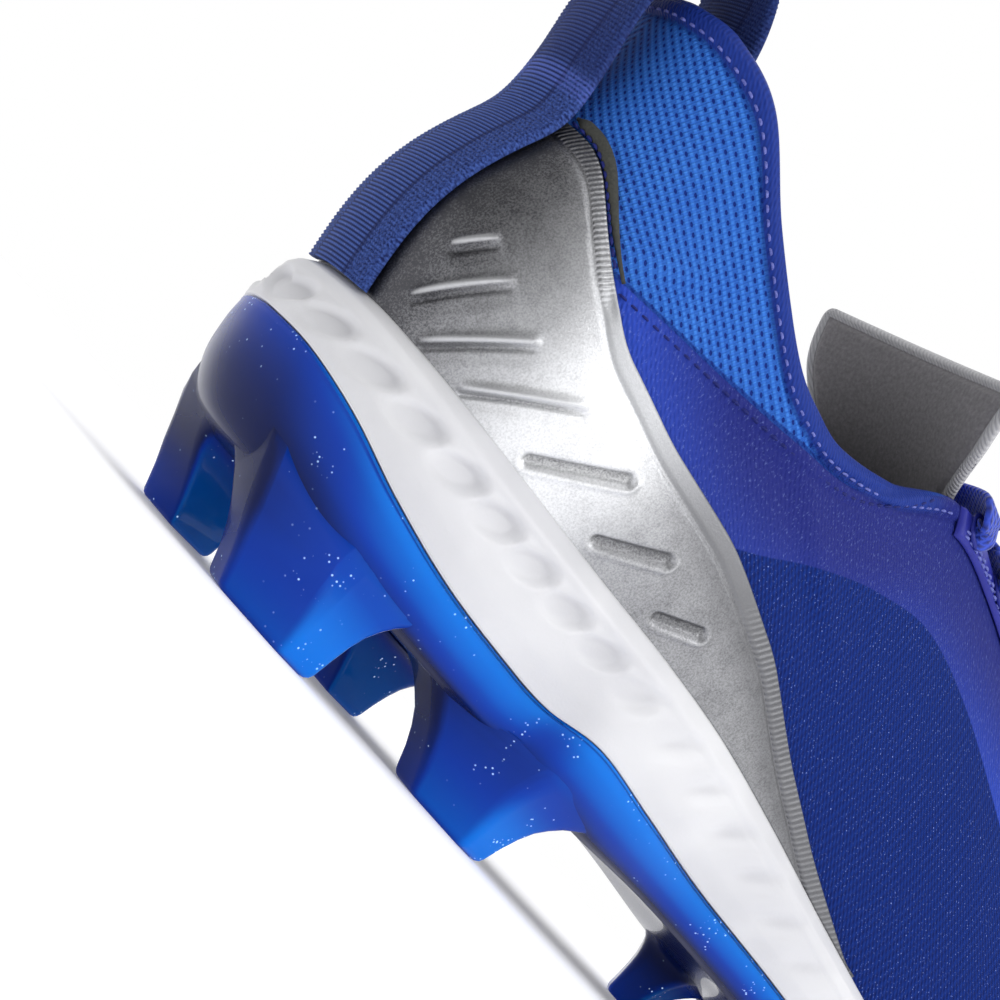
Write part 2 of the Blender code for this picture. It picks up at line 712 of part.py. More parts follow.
def lace_bar(start, end, lift):
    # Flat lace from one eyelet over the tongue to another.
    first = eyelet_point(start[0], start[1])
    last = eyelet_point(end[0], end[1])
    over_first = off_wall(start[0], start[1], 1.0, FIT_GAP + EYESTAY_SKIN + FIT_GAP + 1.2)
    over_last = off_wall(end[0], end[1], 1.0, FIT_GAP + EYESTAY_SKIN + FIT_GAP + 1.2)
    way = (last - first) / np.linalg.norm(last - first)
    centre = (over_first + over_last) / 2
    centre[2] = max(centre[2] + 1.0, tongue_height(centre[1]) + 0.8)
    first = first - way * 2.6
    last = last + way * 2.6
    path = [first, over_first, centre, over_last, last]
    up_first = wall_normal(start[0], start[1], 0.94)
    up_last = wall_normal(end[0], end[1], 0.94)
    up_middle = np.array((0.0, 0.3, 1.0))
    faces_up = [up_first] * 2 + [up_middle] + [up_last] * 2
    columns = []
    for k, here in enumerate(path):
        ahead = path[min(k + 1, len(path) - 1)]
        behind = path[max(k - 1, 0)]
        run = (ahead - behind) / np.linalg.norm(ahead - behind)
        across = np.cross(faces_up[k], run)
        across = across / np.linalg.norm(across)
        up = np.cross(run, across)
        section = []
        for a, b in ((-1, 0), (-0.7, 1), (0.7, 1), (1, 0)):
            section.append(here + across * a * LACE_HALF + up * (b * LACE_SKIN + lift))
        columns.append(section)
    return sheet_body("lace_bar", columns, CORD, 0.8)


def build_laces():
    bars = []
    for k in range(len(EYELETS) - 1):
        step = 0.22 * (k % 2)
        bars.append(lace_bar((EYELETS[k], 1), (EYELETS[k + 1], -1), step))
        bars.append(lace_bar((EYELETS[k], -1), (EYELETS[k + 1], 1), step + 0.45))
    bars.append(lace_bar((EYELETS[-1], 1), (EYELETS[-1], -1), 0.3))
    laces = bars[0]
    laces.name = "laces"
    laces.data.name = "laces"
    for bar in bars[1:]:
        boolean(laces, bar, "UNION")
    return laces


def stand_on_origin(things):
    # The middle of the box's underside is the origin.
    corners = np.array([tuple(v.co) for thing in things for v in thing.data.vertices])
    low = corners.min(axis=0)
    high = corners.max(axis=0)
    move = Vector((-(low[0] + high[0]) / 2, -(low[1] + high[1]) / 2, -low[2]))
    for thing in things:
        for vertex in thing.data.vertices:
            vertex.co += move
    return move


def build():
    for thing in list(bpy.data.objects):
        bpy.data.objects.remove(thing, do_unlink=True)
    things = [
        build_outsole(),
        build_midsole(),
        build_insole(),
        build_upper(),
        build_tongue(),
        build_counter(),
        build_eyestay(),
        build_pull_loop(),
        build_laces(),
    ]
    move = stand_on_origin(things)
    print("moved by", [round(c / MM, 3) for c in move])
    for thing in things:
        thing.data.calc_loop_triangles()
        print(thing.name, len(thing.data.loop_triangles), "triangles")


build()
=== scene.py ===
import math
import bpy
import numpy as np
from mathutils import Matrix, Vector


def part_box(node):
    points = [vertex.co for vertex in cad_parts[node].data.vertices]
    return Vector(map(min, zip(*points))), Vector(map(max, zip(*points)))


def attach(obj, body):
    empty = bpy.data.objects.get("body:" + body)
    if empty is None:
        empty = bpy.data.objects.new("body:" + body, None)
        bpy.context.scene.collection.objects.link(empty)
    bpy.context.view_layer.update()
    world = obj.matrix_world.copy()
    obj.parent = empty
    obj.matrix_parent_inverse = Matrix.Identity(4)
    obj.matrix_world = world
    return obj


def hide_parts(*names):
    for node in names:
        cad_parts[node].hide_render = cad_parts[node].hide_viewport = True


# Softball cleat, right shoe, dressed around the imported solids.
# Tables are in millimetres: x outwards, y from heel to toe, z up.
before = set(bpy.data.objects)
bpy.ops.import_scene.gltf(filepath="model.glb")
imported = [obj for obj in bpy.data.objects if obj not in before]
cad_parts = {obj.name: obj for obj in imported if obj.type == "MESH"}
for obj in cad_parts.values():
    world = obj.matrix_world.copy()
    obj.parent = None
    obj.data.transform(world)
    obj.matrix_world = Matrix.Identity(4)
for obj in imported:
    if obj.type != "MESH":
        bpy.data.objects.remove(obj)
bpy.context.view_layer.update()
mm = 0.001

build = {
    "gap": 0.3, "skinWall": 2.2, "lip": 2.0, "bedDepth": 6.5, "insole": 3.4, "plate": 2.8, "cupWall": 1.9,
    "counterSkin": 1.0, "eyestaySkin": 0.9, "tonguePad": 4.6, "webHalf": 9.3, "webSkin": 1.5,
    "laceHalf": 3.2, "laceSkin": 1.5,
}

soleColumns = ("y", "lat", "med", "ground", "edge", "tuck", "rim", "lean")
soleRows = np.array((
    (0, 0, 0, 13.0, 30.0, 0.8, 40.0, 3.0),
    (3, 13.5, -13.5, 13.0, 29.5, 0.8, 40.0, 3.2),
    (10, 23.3, -23.3, 13.0, 27.5, 1.0, 39.6, 4.0),
    (20, 29.8, -29.8, 13.0, 24.3, 1.1, 39.2, 4.4),
    (34, 33.2, -33.2, 13.0, 22.0, 2.0, 38.8, 3.8),
    (50, 34.6, -34.2, 13.0, 21.4, 3.8, 38.5, 2.4),
    (59, 35.2, -33.8, 13.0, 21.6, 3.6, 38.5, 1.6),
    (68, 36.0, -33.2, 13.0, 23.4, -0.6, 38.4, 1.2),
    (84, 36.6, -31.6, 13.3, 22.6, 0.8, 37.8, 1.2),
    (104, 36.8, -29.6, 14.5, 21.6, 3.6, 35.8, 1.6),
    (128, 38.2, -29.2, 14.5, 21.0, 3.2, 32.4, 2.0),
    (155, 41.6, -33.0, 13.0, 19.5, 2.0, 28.6, 2.0),
    (182, 45.2, -41.0, 12.2, 18.6, 1.5, 26.2, 2.0),
    (208, 46.5, -46.5, 12.0, 18.6, 1.2, 25.2, 2.0),
    (232, 43.4, -47.6, 13.3, 20.0, 1.0, 26.2, 2.0),
    (252, 35.6, -44.0, 16.0, 23.5, 0.9, 29.2, 2.0),
    (266, 25.8, -38.6, 19.5, 27.5, 0.8, 33.0, 2.0),
    (275, 10.8, -28.6, 22.5, 31.0, 0.8, 36.2, 2.0),
    (279, -9.0, -9.0, 24.0, 32.5, 0.8, 37.6, 2.0),
), float)

upperColumns = ("y", "lat", "med", "top", "round", "swell", "hollow", "pad")
upperRows = np.array((
    (6.0, 0, 0, 101.0, 2.0, 1.0, 2.6, 6.6),
    (6.9, 6.8, -6.8, 101.0, 2.0, 1.0, 2.6, 6.6),
    (11.0, 14.0, -14.0, 100.6, 2.0, 1.2, 2.4, 6.8),
    (19.5, 20.3, -20.3, 97.6, 2.0, 1.8, 2.0, 7.2),
    (32.0, 25.0, -25.0, 88.0, 2.0, 2.2, 1.6, 7.6),
    (47.5, 28.2, -27.6, 79.6, 1.95, 2.4, 1.2, 7.6),
    (56.5, 29.2, -28.0, 77.6, 1.9, 2.3, 0.9, 7.4),
    (65.0, 29.0, -27.8, 78.0, 1.85, 2.1, 0.6, 7.0),
    (78.0, 27.0, -26.0, 83.0, 1.75, 1.6, 0.2, 5.6),
    (92.0, 23.2, -22.6, 91.6, 1.55, 1.2, 0.0, 3.6),
    (108.0, 20.4, -20.4, 91.0, 1.35, 1.0, 0.0, 2.4),
    (127.0, 18.4, -19.4, 86.0, 1.2, 1.0, 0.0, 2.2),
    (146.0, 16.0, -18.4, 79.6, 1.12, 1.0, 0.0, 2.2),
    (163.0, 13.0, -17.0, 73.4, 1.08, 1.0, 0.0, 2.2),
    (177.0, 8.8, -14.6, 68.4, 1.02, 0.8, 0.0, 2.2),
    (186.0, 4.0, -11.4, 65.6, 1.0, 0.4, 0.0, 2.2),
    (189.6, -0.2, -8.2, 64.4, 0.97, 0.2, 0.0, 2.2),
    (190.8, -2.4, -5.8, 64.1, 0.96, 0.0, 0.0, 2.2),
    (191.0, -4.0, -4.0, 64.0, 0.95, 0.0, 0.0, 2.2),
), float)
toe = len(soleRows) - 1
walkBreaks = (-toe, -9.6, -1.2, 9.8, toe)   # toe, inner waist, past the heel seam, outer waist, toe
runCount, runLevel = 7201, 0.4              # points and level of the line that distances are taken along


def smooth(low, high, value):
    share = np.clip((value - low) / (high - low), 0, 1)
    return share * share * (3 - 2 * share)


def bell(value, wide):
    return np.exp(-(value / wide) ** 2)


def unit(vectors):
    return vectors / np.maximum(np.linalg.norm(vectors, axis=-1, keepdims=True), 1e-9)


def spline(rows, place):
    # smooth curve through evenly numbered rows
    rows = np.asarray(rows, float)
    place = np.asarray(place, float)
    last = len(rows) - 1
    ends = np.concatenate((2 * rows[:1] - rows[1:2], rows, 2 * rows[-1:] - rows[-2:-1]))
    k = np.clip(np.floor(place), 0, last - 1).astype(int)
    f = place - k
    if rows.ndim > 1:
        f = f[..., None]
    before, a, b, after = ends[k], ends[k + 1], ends[k + 2], ends[k + 3]
    return a + 0.5 * f * (b - before + f * (2 * before - 5 * a + 4 * b - after
                                            + f * (3 * (a - b) + after - before)))


def sideRows(table, columns, side):
    near = columns.index("lat" if side > 0 else "med")
    far = columns.index("med" if side > 0 else "lat")
    first = table[1:2][:, (far, 0)]
    end = table[-2:-1][:, (far, 0)]
    return np.concatenate((first, table[:, (near, 0)], end))


soleSides = {side: sideRows(soleRows, soleColumns, side) for side in (1, -1)}
openSides = {side: sideRows(upperRows, upperColumns, side) for side in (1, -1)}


# A walk number is a section number, counted positive along the outer side and negative along the inner.
def sole(name, walk):
    return spline(soleRows[:, soleColumns.index(name)], np.abs(walk))


def shape(name, walk):
    return spline(upperRows[:, upperColumns.index(name)], np.abs(walk))


def onSides(sides, walk, place):
    return np.where((walk < 0)[..., None], spline(sides[-1], place), spline(sides[1], place))


def outline(walk):
    # point of the sole's widest line, and the way out from it
    walk = np.asarray(walk, float)
    place = np.abs(walk) + 1
    side = np.where(walk < 0, -1.0, 1.0)[..., None]
    here = onSides(soleSides, walk, place)
    ahead = onSides(soleSides, walk, np.minimum(place + 0.01, toe + 1.99))
    run = ahead - onSides(soleSides, walk, np.maximum(place - 0.01, 0.01))
    return here, unit(np.stack((run[..., 1], -run[..., 0]), -1) * side)


def insetPoint(walk, inset, z):
    here, out = outline(walk)
    flat = here - out * np.asarray(inset)[..., None]
    return np.concatenate((flat, np.broadcast_to(z, flat.shape[:-1])[..., None]), -1)


def wallPoint(walk, level):
    # outer face of the upper, from the midsole rim at level 0 to the edge of the opening at 1
    walk, level = np.broadcast_arrays(np.asarray(walk, float), np.asarray(level, float))
    out = outline(walk)[1]
    base = insetPoint(walk, sole("lean", walk) + build["lip"] + build["gap"], sole("rim", walk))
    edge = onSides(openSides, walk, np.abs(walk) + 1)
    top = np.concatenate((edge, shape("top", walk)[..., None]), -1)
    bend = shape("round", walk)
    angle = np.clip(level, 0, 1) * math.pi / 2
    reach = 1 - np.maximum(np.cos(angle), 0) ** bend
    rise = np.sin(angle) ** bend
    full = shape("swell", walk) * np.sin(math.pi * rise) + shape("hollow", walk) * np.sin(2 * math.pi * rise)
    point = base + (top - base) * np.stack((reach, reach, rise), -1)
    point[..., :2] += out * full[..., None]
    return point


def wallNormal(walk, level):
    up = wallPoint(walk, np.minimum(level + 0.01, 1)) - wallPoint(walk, np.maximum(level - 0.01, 0))
    along = wallPoint(walk + 0.01, level) - wallPoint(walk - 0.01, level)
    return unit(np.cross(along, up))


def wallThick(walk, level):
    pad = shape("pad", walk)
    return build["skinWall"] + (pad - build["skinWall"]) * smooth(0.45, 0.85, level)


def offWall(walk, level, lift):
    return wallPoint(walk, level) + wallNormal(walk, level) * np.asarray(lift, float)[..., None]


def levelAt(walk, z):
    rise = np.clip((z - sole("rim", walk)) / (shape("top", walk) - sole("rim", walk)), 0, 1)
    return 2 / math.pi * np.arcsin(rise ** (1 / shape("round", walk)))


def lengthAlong(points):
    steps = np.linalg.norm(np.diff(points, axis=0), axis=-1)
    return np.concatenate((np.zeros((1,) + steps.shape[1:]), np.cumsum(steps, axis=0)))


def walkSteps(first, last, spacing):
    # walk numbers spaced evenly along the sole outline
    fine = np.linspace(first, last, 3000)
    run = lengthAlong(outline(fine)[0])
    count = max(2, int(round(run[-1] / spacing)))
    return np.interp(np.linspace(0, run[-1], count + 1), run, fine)


def roundWalk(spacing):
    # once round the shoe, finest where the picture looks
    parts = zip(walkBreaks, walkBreaks[1:], spacing)
    return np.concatenate([walkSteps(first, last, step)[:-1] for first, last, step in parts])


# distance along the wall from the heel seam, and back
runWalks = np.linspace(-toe + 0.001, toe - 0.001, runCount)
runPoints = wallPoint(runWalks, runLevel)
runValues = lengthAlong(runPoints)
runValues = runValues - np.interp(0.0, runWalks, runValues)


def runAt(walk):
    return np.interp(walk, runWalks, runValues)


def walkAt(run):
    return np.interp(run, runValues, runWalks)


def runAtY(y):
    outer = runWalks >= 0
    return np.interp(y, runPoints[outer, 1], runValues[outer])


def onWall(run, z, lift):
    walk = walkAt(np.asarray(run, float))
    level = levelAt(walk, np.asarray(z, float))
    return offWall(walk, level, lift), wallNormal(walk, level)


def lineOf(rows, count=160):
    # a line given as station and height, as distance along the wall and height
    dense = spline(rows, np.linspace(0, len(rows) - 1, count))
    return np.stack((runAtY(dense[:, 0]), dense[:, 1]), -1)


def belowLine(line, run, z):
    # distance to a line on the wall, positive below it
    best = np.full(np.shape(run), 1e9)
    for a, b in zip(line[:-1], line[1:]):
        way = b - a
        share = np.clip(((run - a[0]) * way[0] + (z - a[1]) * way[1]) / max(way @ way, 1e-9), 0, 1)
        away = np.hypot(run - a[0] - share * way[0], z - a[1] - share * way[1])
        best = np.minimum(best, away)
    return np.where(z < np.interp(run, line[:, 0], line[:, 1]), best, -best)


def frameShift():
    # the source stands the shoe on the middle of its box, measured on the upper's own sections
    levels = np.array((0.0, 0.1, 0.2, 0.31, 0.43, 0.55, 0.68, 0.83, 0.97))
    places = np.concatenate((np.arange(0, 2, 1 / 3), np.arange(2, toe + 0.1, 0.5)))
    points = wallPoint(np.concatenate((places, -places))[:, None], levels)
    low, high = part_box("upper")
    return np.array((high.x / mm - points[..., 0].max(), low.y / mm - points[..., 1].min(), 0.0))


shift = frameShift()
print("frame shift", shift.round(3))


# meshes
def gridFaces(columns, rows, closeColumns=False, closeRows=False):
    index = np.arange(columns * rows).reshape(columns, rows)
    across = np.roll(index, -1, 0)
    quads = np.stack((index, across, np.roll(across, -1, 1), np.roll(index, -1, 1)), -1)
    quads = quads[:columns if closeColumns else columns - 1, :rows if closeRows else rows - 1]
    return quads.reshape(-1, 4).tolist()


def skinFaces(columns, rows):
    # a row of closed flat sections, with both ends closed
    faces = gridFaces(columns, rows, closeRows=True)
    for start, turn in ((0, 1), ((columns - 1) * rows, -1)):
        for i in range(rows // 2 - 1):
            face = [start + i, start + i + 1, start + rows - 2 - i, start + rows - 1 - i]
            faces.append(face[::turn])
    return faces


def overGrid(value, points):
    # a value for each point of a grid
    return np.broadcast_to(value, points.shape[:2]).ravel()


def joinParts(parts):
    points, faces, values = [], [], {}
    count = 0
    for part in parts:
        flat = np.asarray(part[0], float).reshape(-1, 3)
        points.append(flat)
        faces += [[corner + count for corner in face] for face in part[1]]
        for name, value in part[2].items():
            values.setdefault(name, []).append(np.broadcast_to(value, flat.shape[:1]))
        count += len(flat)
    return np.concatenate(points), faces, {name: np.concatenate(v) for name, v in values.items()}


def makePiece(name, part, material, nodes=()):
    points, faces, values = part
    flat = (np.asarray(points, float).reshape(-1, 3) + shift) * mm
    mesh = bpy.data.meshes.new(name)
    mesh.from_pydata(flat.tolist(), [], faces)
    for key, value in values.items():
        layer = mesh.attributes.new(key, "FLOAT", "POINT")
        layer.data.foreach_set("value", np.asarray(value, np.float32).ravel())
    mesh.polygons.foreach_set("use_smooth", np.ones(len(mesh.polygons), bool))
    mesh.materials.append(material)
    mesh.validate()
    mesh.update()
    piece = bpy.data.objects.new(name, mesh)
    bpy.context.scene.collection.objects.link(piece)
    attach(piece, "root")
    if nodes:
        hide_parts(*nodes)
    print(name, sum(len(face) - 2 for face in faces), "triangles")
    return piece


# materials
class Sock:
    def __init__(self, tree, socket=None):
        self.tree = tree
        self.socket = socket

    def make(self, kind, settings=None, inputs=None, out=0):
        node = self.tree.nodes.new(kind)
        for name, value in (settings or {}).items():
            setattr(node, name, value)
        for name, value in (inputs or {}).items():
            if isinstance(value, Sock):
                self.tree.links.new(value.socket, node.inputs[name])
            else:
                node.inputs[name].default_value = value
        return Sock(self.tree, node.outputs[out]) if node.outputs else None

    def maths(self, operation, first, second=0.0):
        return self.make("ShaderNodeMath", {"operation": operation}, {0: first, 1: second})

    def __add__(self, other):
        return self.maths("ADD", self, other)

    def __radd__(self, other):
        return self.maths("ADD", other, self)

    def __sub__(self, other):
        return self.maths("SUBTRACT", self, other)

    def __rsub__(self, other):
        return self.maths("SUBTRACT", other, self)

    def __mul__(self, other):
        return self.maths("MULTIPLY", self, other)

    def __rmul__(self, other):
        return self.maths("MULTIPLY", other, self)

    def __truediv__(self, other):
        return self.maths("DIVIDE", self, other)

    def __rtruediv__(self, other):
        return self.maths("DIVIDE", other, self)

    def __pow__(self, other):
        return self.maths("POWER", self, other)

    def __rpow__(self, other):
        return self.maths("POWER", other, self)

    def wave(self):
        # sine, from 0 to 1
        return self.maths("SINE", self) * 0.5 + 0.5

    def part(self):
        return self.maths("FRACT", self)

    def floor(self):
        return self.maths("FLOOR", self)

    def size(self):
        return self.maths("ABSOLUTE", self)

    def most(self, other):
        return self.maths("MAXIMUM", self, other)

    def reach(self, other):
        return (self * self + other * other) ** 0.5

    def rise(self, low, high):
        # 0 below low, 1 above high, and the other way round when low is the larger
        inputs = {"Value": self, "From Min": low, "From Max": high}
        return self.make("ShaderNodeMapRange", {"interpolation_type": "SMOOTHSTEP"}, inputs)

    def value(self, name):
        return self.make("ShaderNodeAttribute", {"attribute_name": name}, out="Fac")

    def place(self):
        # position in millimetres
        where = self.make("ShaderNodeNewGeometry", out="Position")
        return self.make("ShaderNodeVectorMath", {"operation": "SCALE"}, {0: where, "Scale": 1 / mm})

    def towards(self, vector, way):
        # how far a direction points along a fixed one
        way = tuple(Vector(way).normalized())
        return self.make("ShaderNodeVectorMath", {"operation": "DOT_PRODUCT"}, {0: vector, 1: way}, "Value")

    def facing(self, way):
        return self.towards(self.make("ShaderNodeNewGeometry", out="Normal"), way)

    def together(self, x, y, z=0.0):
        return self.make("ShaderNodeCombineXYZ", {}, {"X": x, "Y": y, "Z": z})

    def noise(self, where, scale, detail=2.0, rough=0.5):
        inputs = {"Vector": where, "Scale": scale, "Detail": detail, "Roughness": rough}
        return self.make("ShaderNodeTexNoise", {}, inputs)

    def blend(self, share, first, second):
        # colours
        inputs = {"Factor": share, 6: first, 7: second}
        return self.make("ShaderNodeMix", {"data_type": "RGBA", "clamp_factor": True}, inputs, 2)

    def bump(self, height, deep):
        # height from 0 to 1, deep in millimetres
        inputs = {"Height": height, "Distance": deep * mm, "Strength": 1.0}
        return self.make("ShaderNodeBump", {}, inputs)


def colour(red, green, blue):
    # screen values to light values
    parts = [c / 255 for c in (red, green, blue)]
    return tuple(c / 12.92 if c < 0.04 else ((c + 0.055) / 1.055) ** 2.4 for c in parts) + (1.0,)


def makeMaterial(name, finish):
    # finish takes the pen and gives the values of the shader's sockets
    material = bpy.data.materials.new(name)
    material.use_nodes = True
    material.node_tree.nodes.clear()
    pen = Sock(material.node_tree)
    shader = pen.make("ShaderNodeBsdfPrincipled", {}, finish(pen))
    pen.make("ShaderNodeOutputMaterial", {}, {"Surface": shader})
    return material


# outsole
outsole = {
    "spacing": (2.4, 1.3, 0.8, 2.0), "rows": 26, "bowl": 10.0, "heelBowl": 3.0, "heelReach": 4.0,
    "archAt": 9.2, "archWide": 1.6,
    "profile": ((1.0, 0.0), (0.52, 0.13), (0.2, 0.42), (0.05, 0.75), (0.0, 1.0)),   # inset and rise shares
    "edges": ((0.0, -0.5), (0.12, -0.2), (0.4, 0.0)),   # wall and lift round the top edge
    "inside": (   # inset and rise shares, wall, lift
        (0.0, 1.0, build["cupWall"], 0.0), (0.2, 0.42, build["cupWall"], 0.7),
        (0.52, 0.13, 1.5, 2.0), (1.0, 0.0, 1.2, build["plate"])),
    "studs": (   # x, y, tip wide and long, base wide and long, rake, turn, lift
        (18.0, 26.0, 19.0, 16.0, 21.0, 26.0, 4.0, 0, 0),
        (-18.0, 26.0, 19.0, 16.0, 21.0, 26.0, 4.0, 0, 0),
        (21.5, 68.0, 16.0, 14.0, 21.0, 26.0, 3.0, -6, 0),
        (-19.5, 68.0, 16.0, 14.0, 20.0, 26.0, 3.0, 6, 0),
        (29.0, 160.0, 11.0, 13.0, 17.0, 22.0, -2.5, 12, 0),
        (-22.0, 168.0, 11.0, 13.0, 17.0, 22.0, -2.5, -12, 0),
        (31.0, 196.0, 11.0, 13.0, 16.0, 21.0, -2.5, 8, 0),
        (-32.0, 202.0, 11.0, 13.0, 16.0, 21.0, -2.5, -8, 0),
        (25.0, 229.0, 9.0, 10.0, 14.0, 18.0, -2.0, -12, 2.2),
        (-32.0, 232.0, 9.0, 10.0, 14.0, 18.0, -2.0, 12, 2.4),
        (-5.0, 250.0, 11.0, 8.0, 16.0, 15.0, -2.0, 0, 5.4)),
    "wedge": ((-0.5, -0.34), (-0.14, 0.42), (0.44, 0.5), (0.5, 0.06), (0.02, -0.5)),
    # height share, how much of the base size, outward step
    "studProfile": ((0.0, 0.0, -1.2), (0.015, 0.0, -0.6), (0.05, 0.0, -0.18), (0.1, 0.02, 0.0),
                    (0.3, 0.2, 0.0), (0.5, 0.42, 0.05), (0.66, 0.62, 0.25), (0.78, 0.8, 0.7),
                    (0.88, 0.92, 1.4), (0.95, 0.98, 2.3), (0.99, 1.0, 3.3), (1.02, 1.0, 4.3)),
    "cornerRound": 0.9, "cornerGrow": 1.2, "cornerLead": 0.35, "keepIn": 2.6, "studTall": 13.0,
    "window": ((-5.0, 46.0), (9.0, 42.0), (4.6, 78.0)), "windowDeep": 1.4,
    "channel": ((-13.0, 43.0), (0.0, 33.0), (15.0, 40.0), (6.0, 104.0), (-8.0, 104.0)), "channelDeep": 1.2,
    "channelEdge": (-0.5, 0.7), "windowEdge": (-0.6, 0.8), "panelEdge": (0.3, 0.9),
    "lowPlate": (0.6, 92), "highPlate": (4.0, 8),   # spacing, and how many across
    # lightWay aims the painted light on the outsole; navy is its painted shade and bright its painted light
    "lightWay": (0.85, 0.35, 0.25), "flakeCell": 0.74,
    "navy": colour(0, 16, 70), "royal": colour(0, 54, 162), "bright": colour(0, 110, 212),
    # the flake colour is the glitter's painted glint, given out as glow
    "panel": colour(150, 146, 142), "flakeGlint": colour(190, 226, 255), "noFlake": (0, 0, 0, 1),
}


def cupDepth(walk):
    return outsole["bowl"] + outsole["heelBowl"] * smooth(0, 1, 1 - np.abs(walk) / outsole["heelReach"])


def cupPoint(walk, inset, rise, wall=0.0, lift=0.0):
    ground = sole("ground", walk)
    z = ground + (sole("edge", walk) - ground) * rise + lift
    return insetPoint(walk, sole("tuck", walk) * (1 - inset) + cupDepth(walk) * inset + wall, z)


def cupFloor(wall=0.0, lift=0.0):
    def ring(walk):
        return cupPoint(walk, 1.0, 0.0, wall, lift)
    return ring


def waistArch(places, f, points):
    return np.exp(-((np.abs(places) - outsole["archAt"]) / outsole["archWide"]) ** 2) * np.sin(math.pi * f)


def noArch(places, f, points):
    return 0.0


cupWalks = np.linspace(-toe, toe, 433)
cupOutline, cupOut = outline(cupWalks)


def cupHeight(x, y):
    # height of the outsole's underside at a plan position
    away = np.hypot(x[..., None] - cupOutline[:, 0], y[..., None] - cupOutline[:, 1])
    walk = cupWalks[away.argmin(-1)]
    ground = sole("ground", np.interp(y, soleRows[:, 0], np.arange(toe + 1)))
    share = (away.min(-1) - sole("tuck", walk)) / cupDepth(walk)
    insets, rises = zip(*outsole["profile"][::-1])
    return ground + np.maximum(sole("edge", walk) - ground, 0) * np.interp(share, insets, rises)


def roundCorners(corners, radius, arc=6):
    # closed plan line with rounded corners and a point close to each end of each round
    points = []
    corners = np.asarray(corners, float)
    for k, here in enumerate(corners):
        back = unit(corners[k - 1] - here)
        ahead = unit(corners[(k + 1) % len(corners)] - here)
        a, b = here + back * radius, here + ahead * radius
        points.append(a + back * outsole["cornerLead"])
        for f in np.arange(arc + 1) / arc:
            points.append(a * (1 - f) ** 2 + here * 2 * f * (1 - f) + b * f * f)
        points.append(b + ahead * outsole["cornerLead"])
    return np.array(points)


def keepInside(plan):
    # draws plan points in from the edge of the cup
    near = np.hypot(plan[:, :1] - cupOutline[:, 0], plan[:, 1:] - cupOutline[:, 1]).argmin(-1)
    deep = -((plan - cupOutline[near]) * cupOut[near]).sum(-1)
    keep = sole("tuck", cupWalks[near]) + outsole["keepIn"]
    return plan - cupOut[near] * np.maximum(keep - deep, 0)[:, None]


def studPart(row):
    x, y, tipWide, tipLong, baseWide, baseLong, rake, turn, lift = row
    side = 1 if x >= 0 else -1
    turn = math.radians(turn)
    rings = []
    for share, size, step in outsole["studProfile"]:
        wide = tipWide + (baseWide - tipWide) * size + 2 * step
        long = tipLong + (baseLong - tipLong) * size + 2 * step
        corners = []
        for a, b in outsole["wedge"]:
            out, ahead = a * wide * side, b * long
            corners.append((x + out * math.cos(turn) + ahead * math.sin(turn),
                            y - rake * size + ahead * math.cos(turn) - out * math.sin(turn)))
        plan = keepInside(roundCorners(corners, outsole["cornerRound"] + outsole["cornerGrow"] * share))
        cup = cupHeight(plan[:, 0], plan[:, 1])
        rings.append(np.column_stack((plan, lift + (cup - lift) * share)))
    points = np.array(rings)
    count = points.shape[1]
    faces = gridFaces(len(rings), count, closeRows=True) + [list(range(count))]
    thin = np.clip(1 - (points[..., 2] - lift) / outsole["studTall"], 0, 1)
    return points, [face[::-side] for face in faces], {"thin": thin.ravel(), "panel": 0.0}


def insidePlan(corners, points):
    # distance inside a convex plan, negative outside
    corners = np.asarray(corners, float)
    middle = corners.mean(0)
    best = np.full(points.shape[:-1], 1e9)
    for a, b in zip(corners, np.roll(corners, -1, 0)):
        way = unit(b - a)
        inward = np.array((-way[1], way[0]))
        if inward @ (middle - a) < 0:
            inward = -inward
        best = np.minimum(best, (points[..., 0] - a[0]) * inward[0] + (points[..., 1] - a[1]) * inward[1])
    return best


def solePlate(size, ring, drop, turn):
    # the flat between the two sides of a ring, as rungs from side to side
    spacing, across = size
    places = np.unique(walkSteps(0, toe, spacing).round(6))
    f = np.linspace(0, 1, across + 1)
    right, left = ring(places), ring(-places)
    points = right[:, None] * (1 - f)[:, None] + left[:, None] * f[:, None]
    points[..., 2] += drop(places[:, None], f, points)
    faces = gridFaces(len(places), across + 1)
    return points, [face[::turn] for face in faces]


def outsoleDrop(places, f, points):
    channel = smooth(*outsole["channelEdge"], insidePlan(outsole["channel"], points))
    window = smooth(*outsole["windowEdge"], insidePlan(outsole["window"], points))
    deep = waistArch(places, f, points) + outsole["channelDeep"] * channel
    return deep + outsole["windowDeep"] * window


def outsolePart():
    walks = roundWalk(outsole["spacing"])
    count = outsole["rows"]
    profile = spline(outsole["profile"], np.linspace(0, len(outsole["profile"]) - 1, count))
    rows = [cupPoint(walks, inset, rise) for inset, rise in profile[:-1]]
    rows += [cupPoint(walks, 0.0, 1.0, wall, lift) for wall, lift in outsole["edges"]]
    rows += [cupPoint(walks, *step) for step in outsole["inside"]]
    points = np.stack(rows, 1)
    thin = np.concatenate((np.linspace(0, 1, count) ** 2, np.ones(points.shape[1] - count)))
    faces = gridFaces(len(walks), points.shape[1], closeColumns=True)
    side = points, faces, {"thin": overGrid(thin, points), "panel": 0.0}
    low = solePlate(outsole["lowPlate"], cupFloor(), outsoleDrop, -1)
    panel = smooth(*outsole["panelEdge"], insidePlan(outsole["window"], low[0]))
    high = solePlate(outsole["highPlate"], cupFloor(*outsole["inside"][-1][2:]), waistArch, 1)
    parts = [side, low + ({"thin": 0.0, "panel": panel.ravel()},), high + ({"thin": 0.0, "panel": 0.0},)]
    return joinParts(parts + [studPart(row) for row in outsole["studs"]])


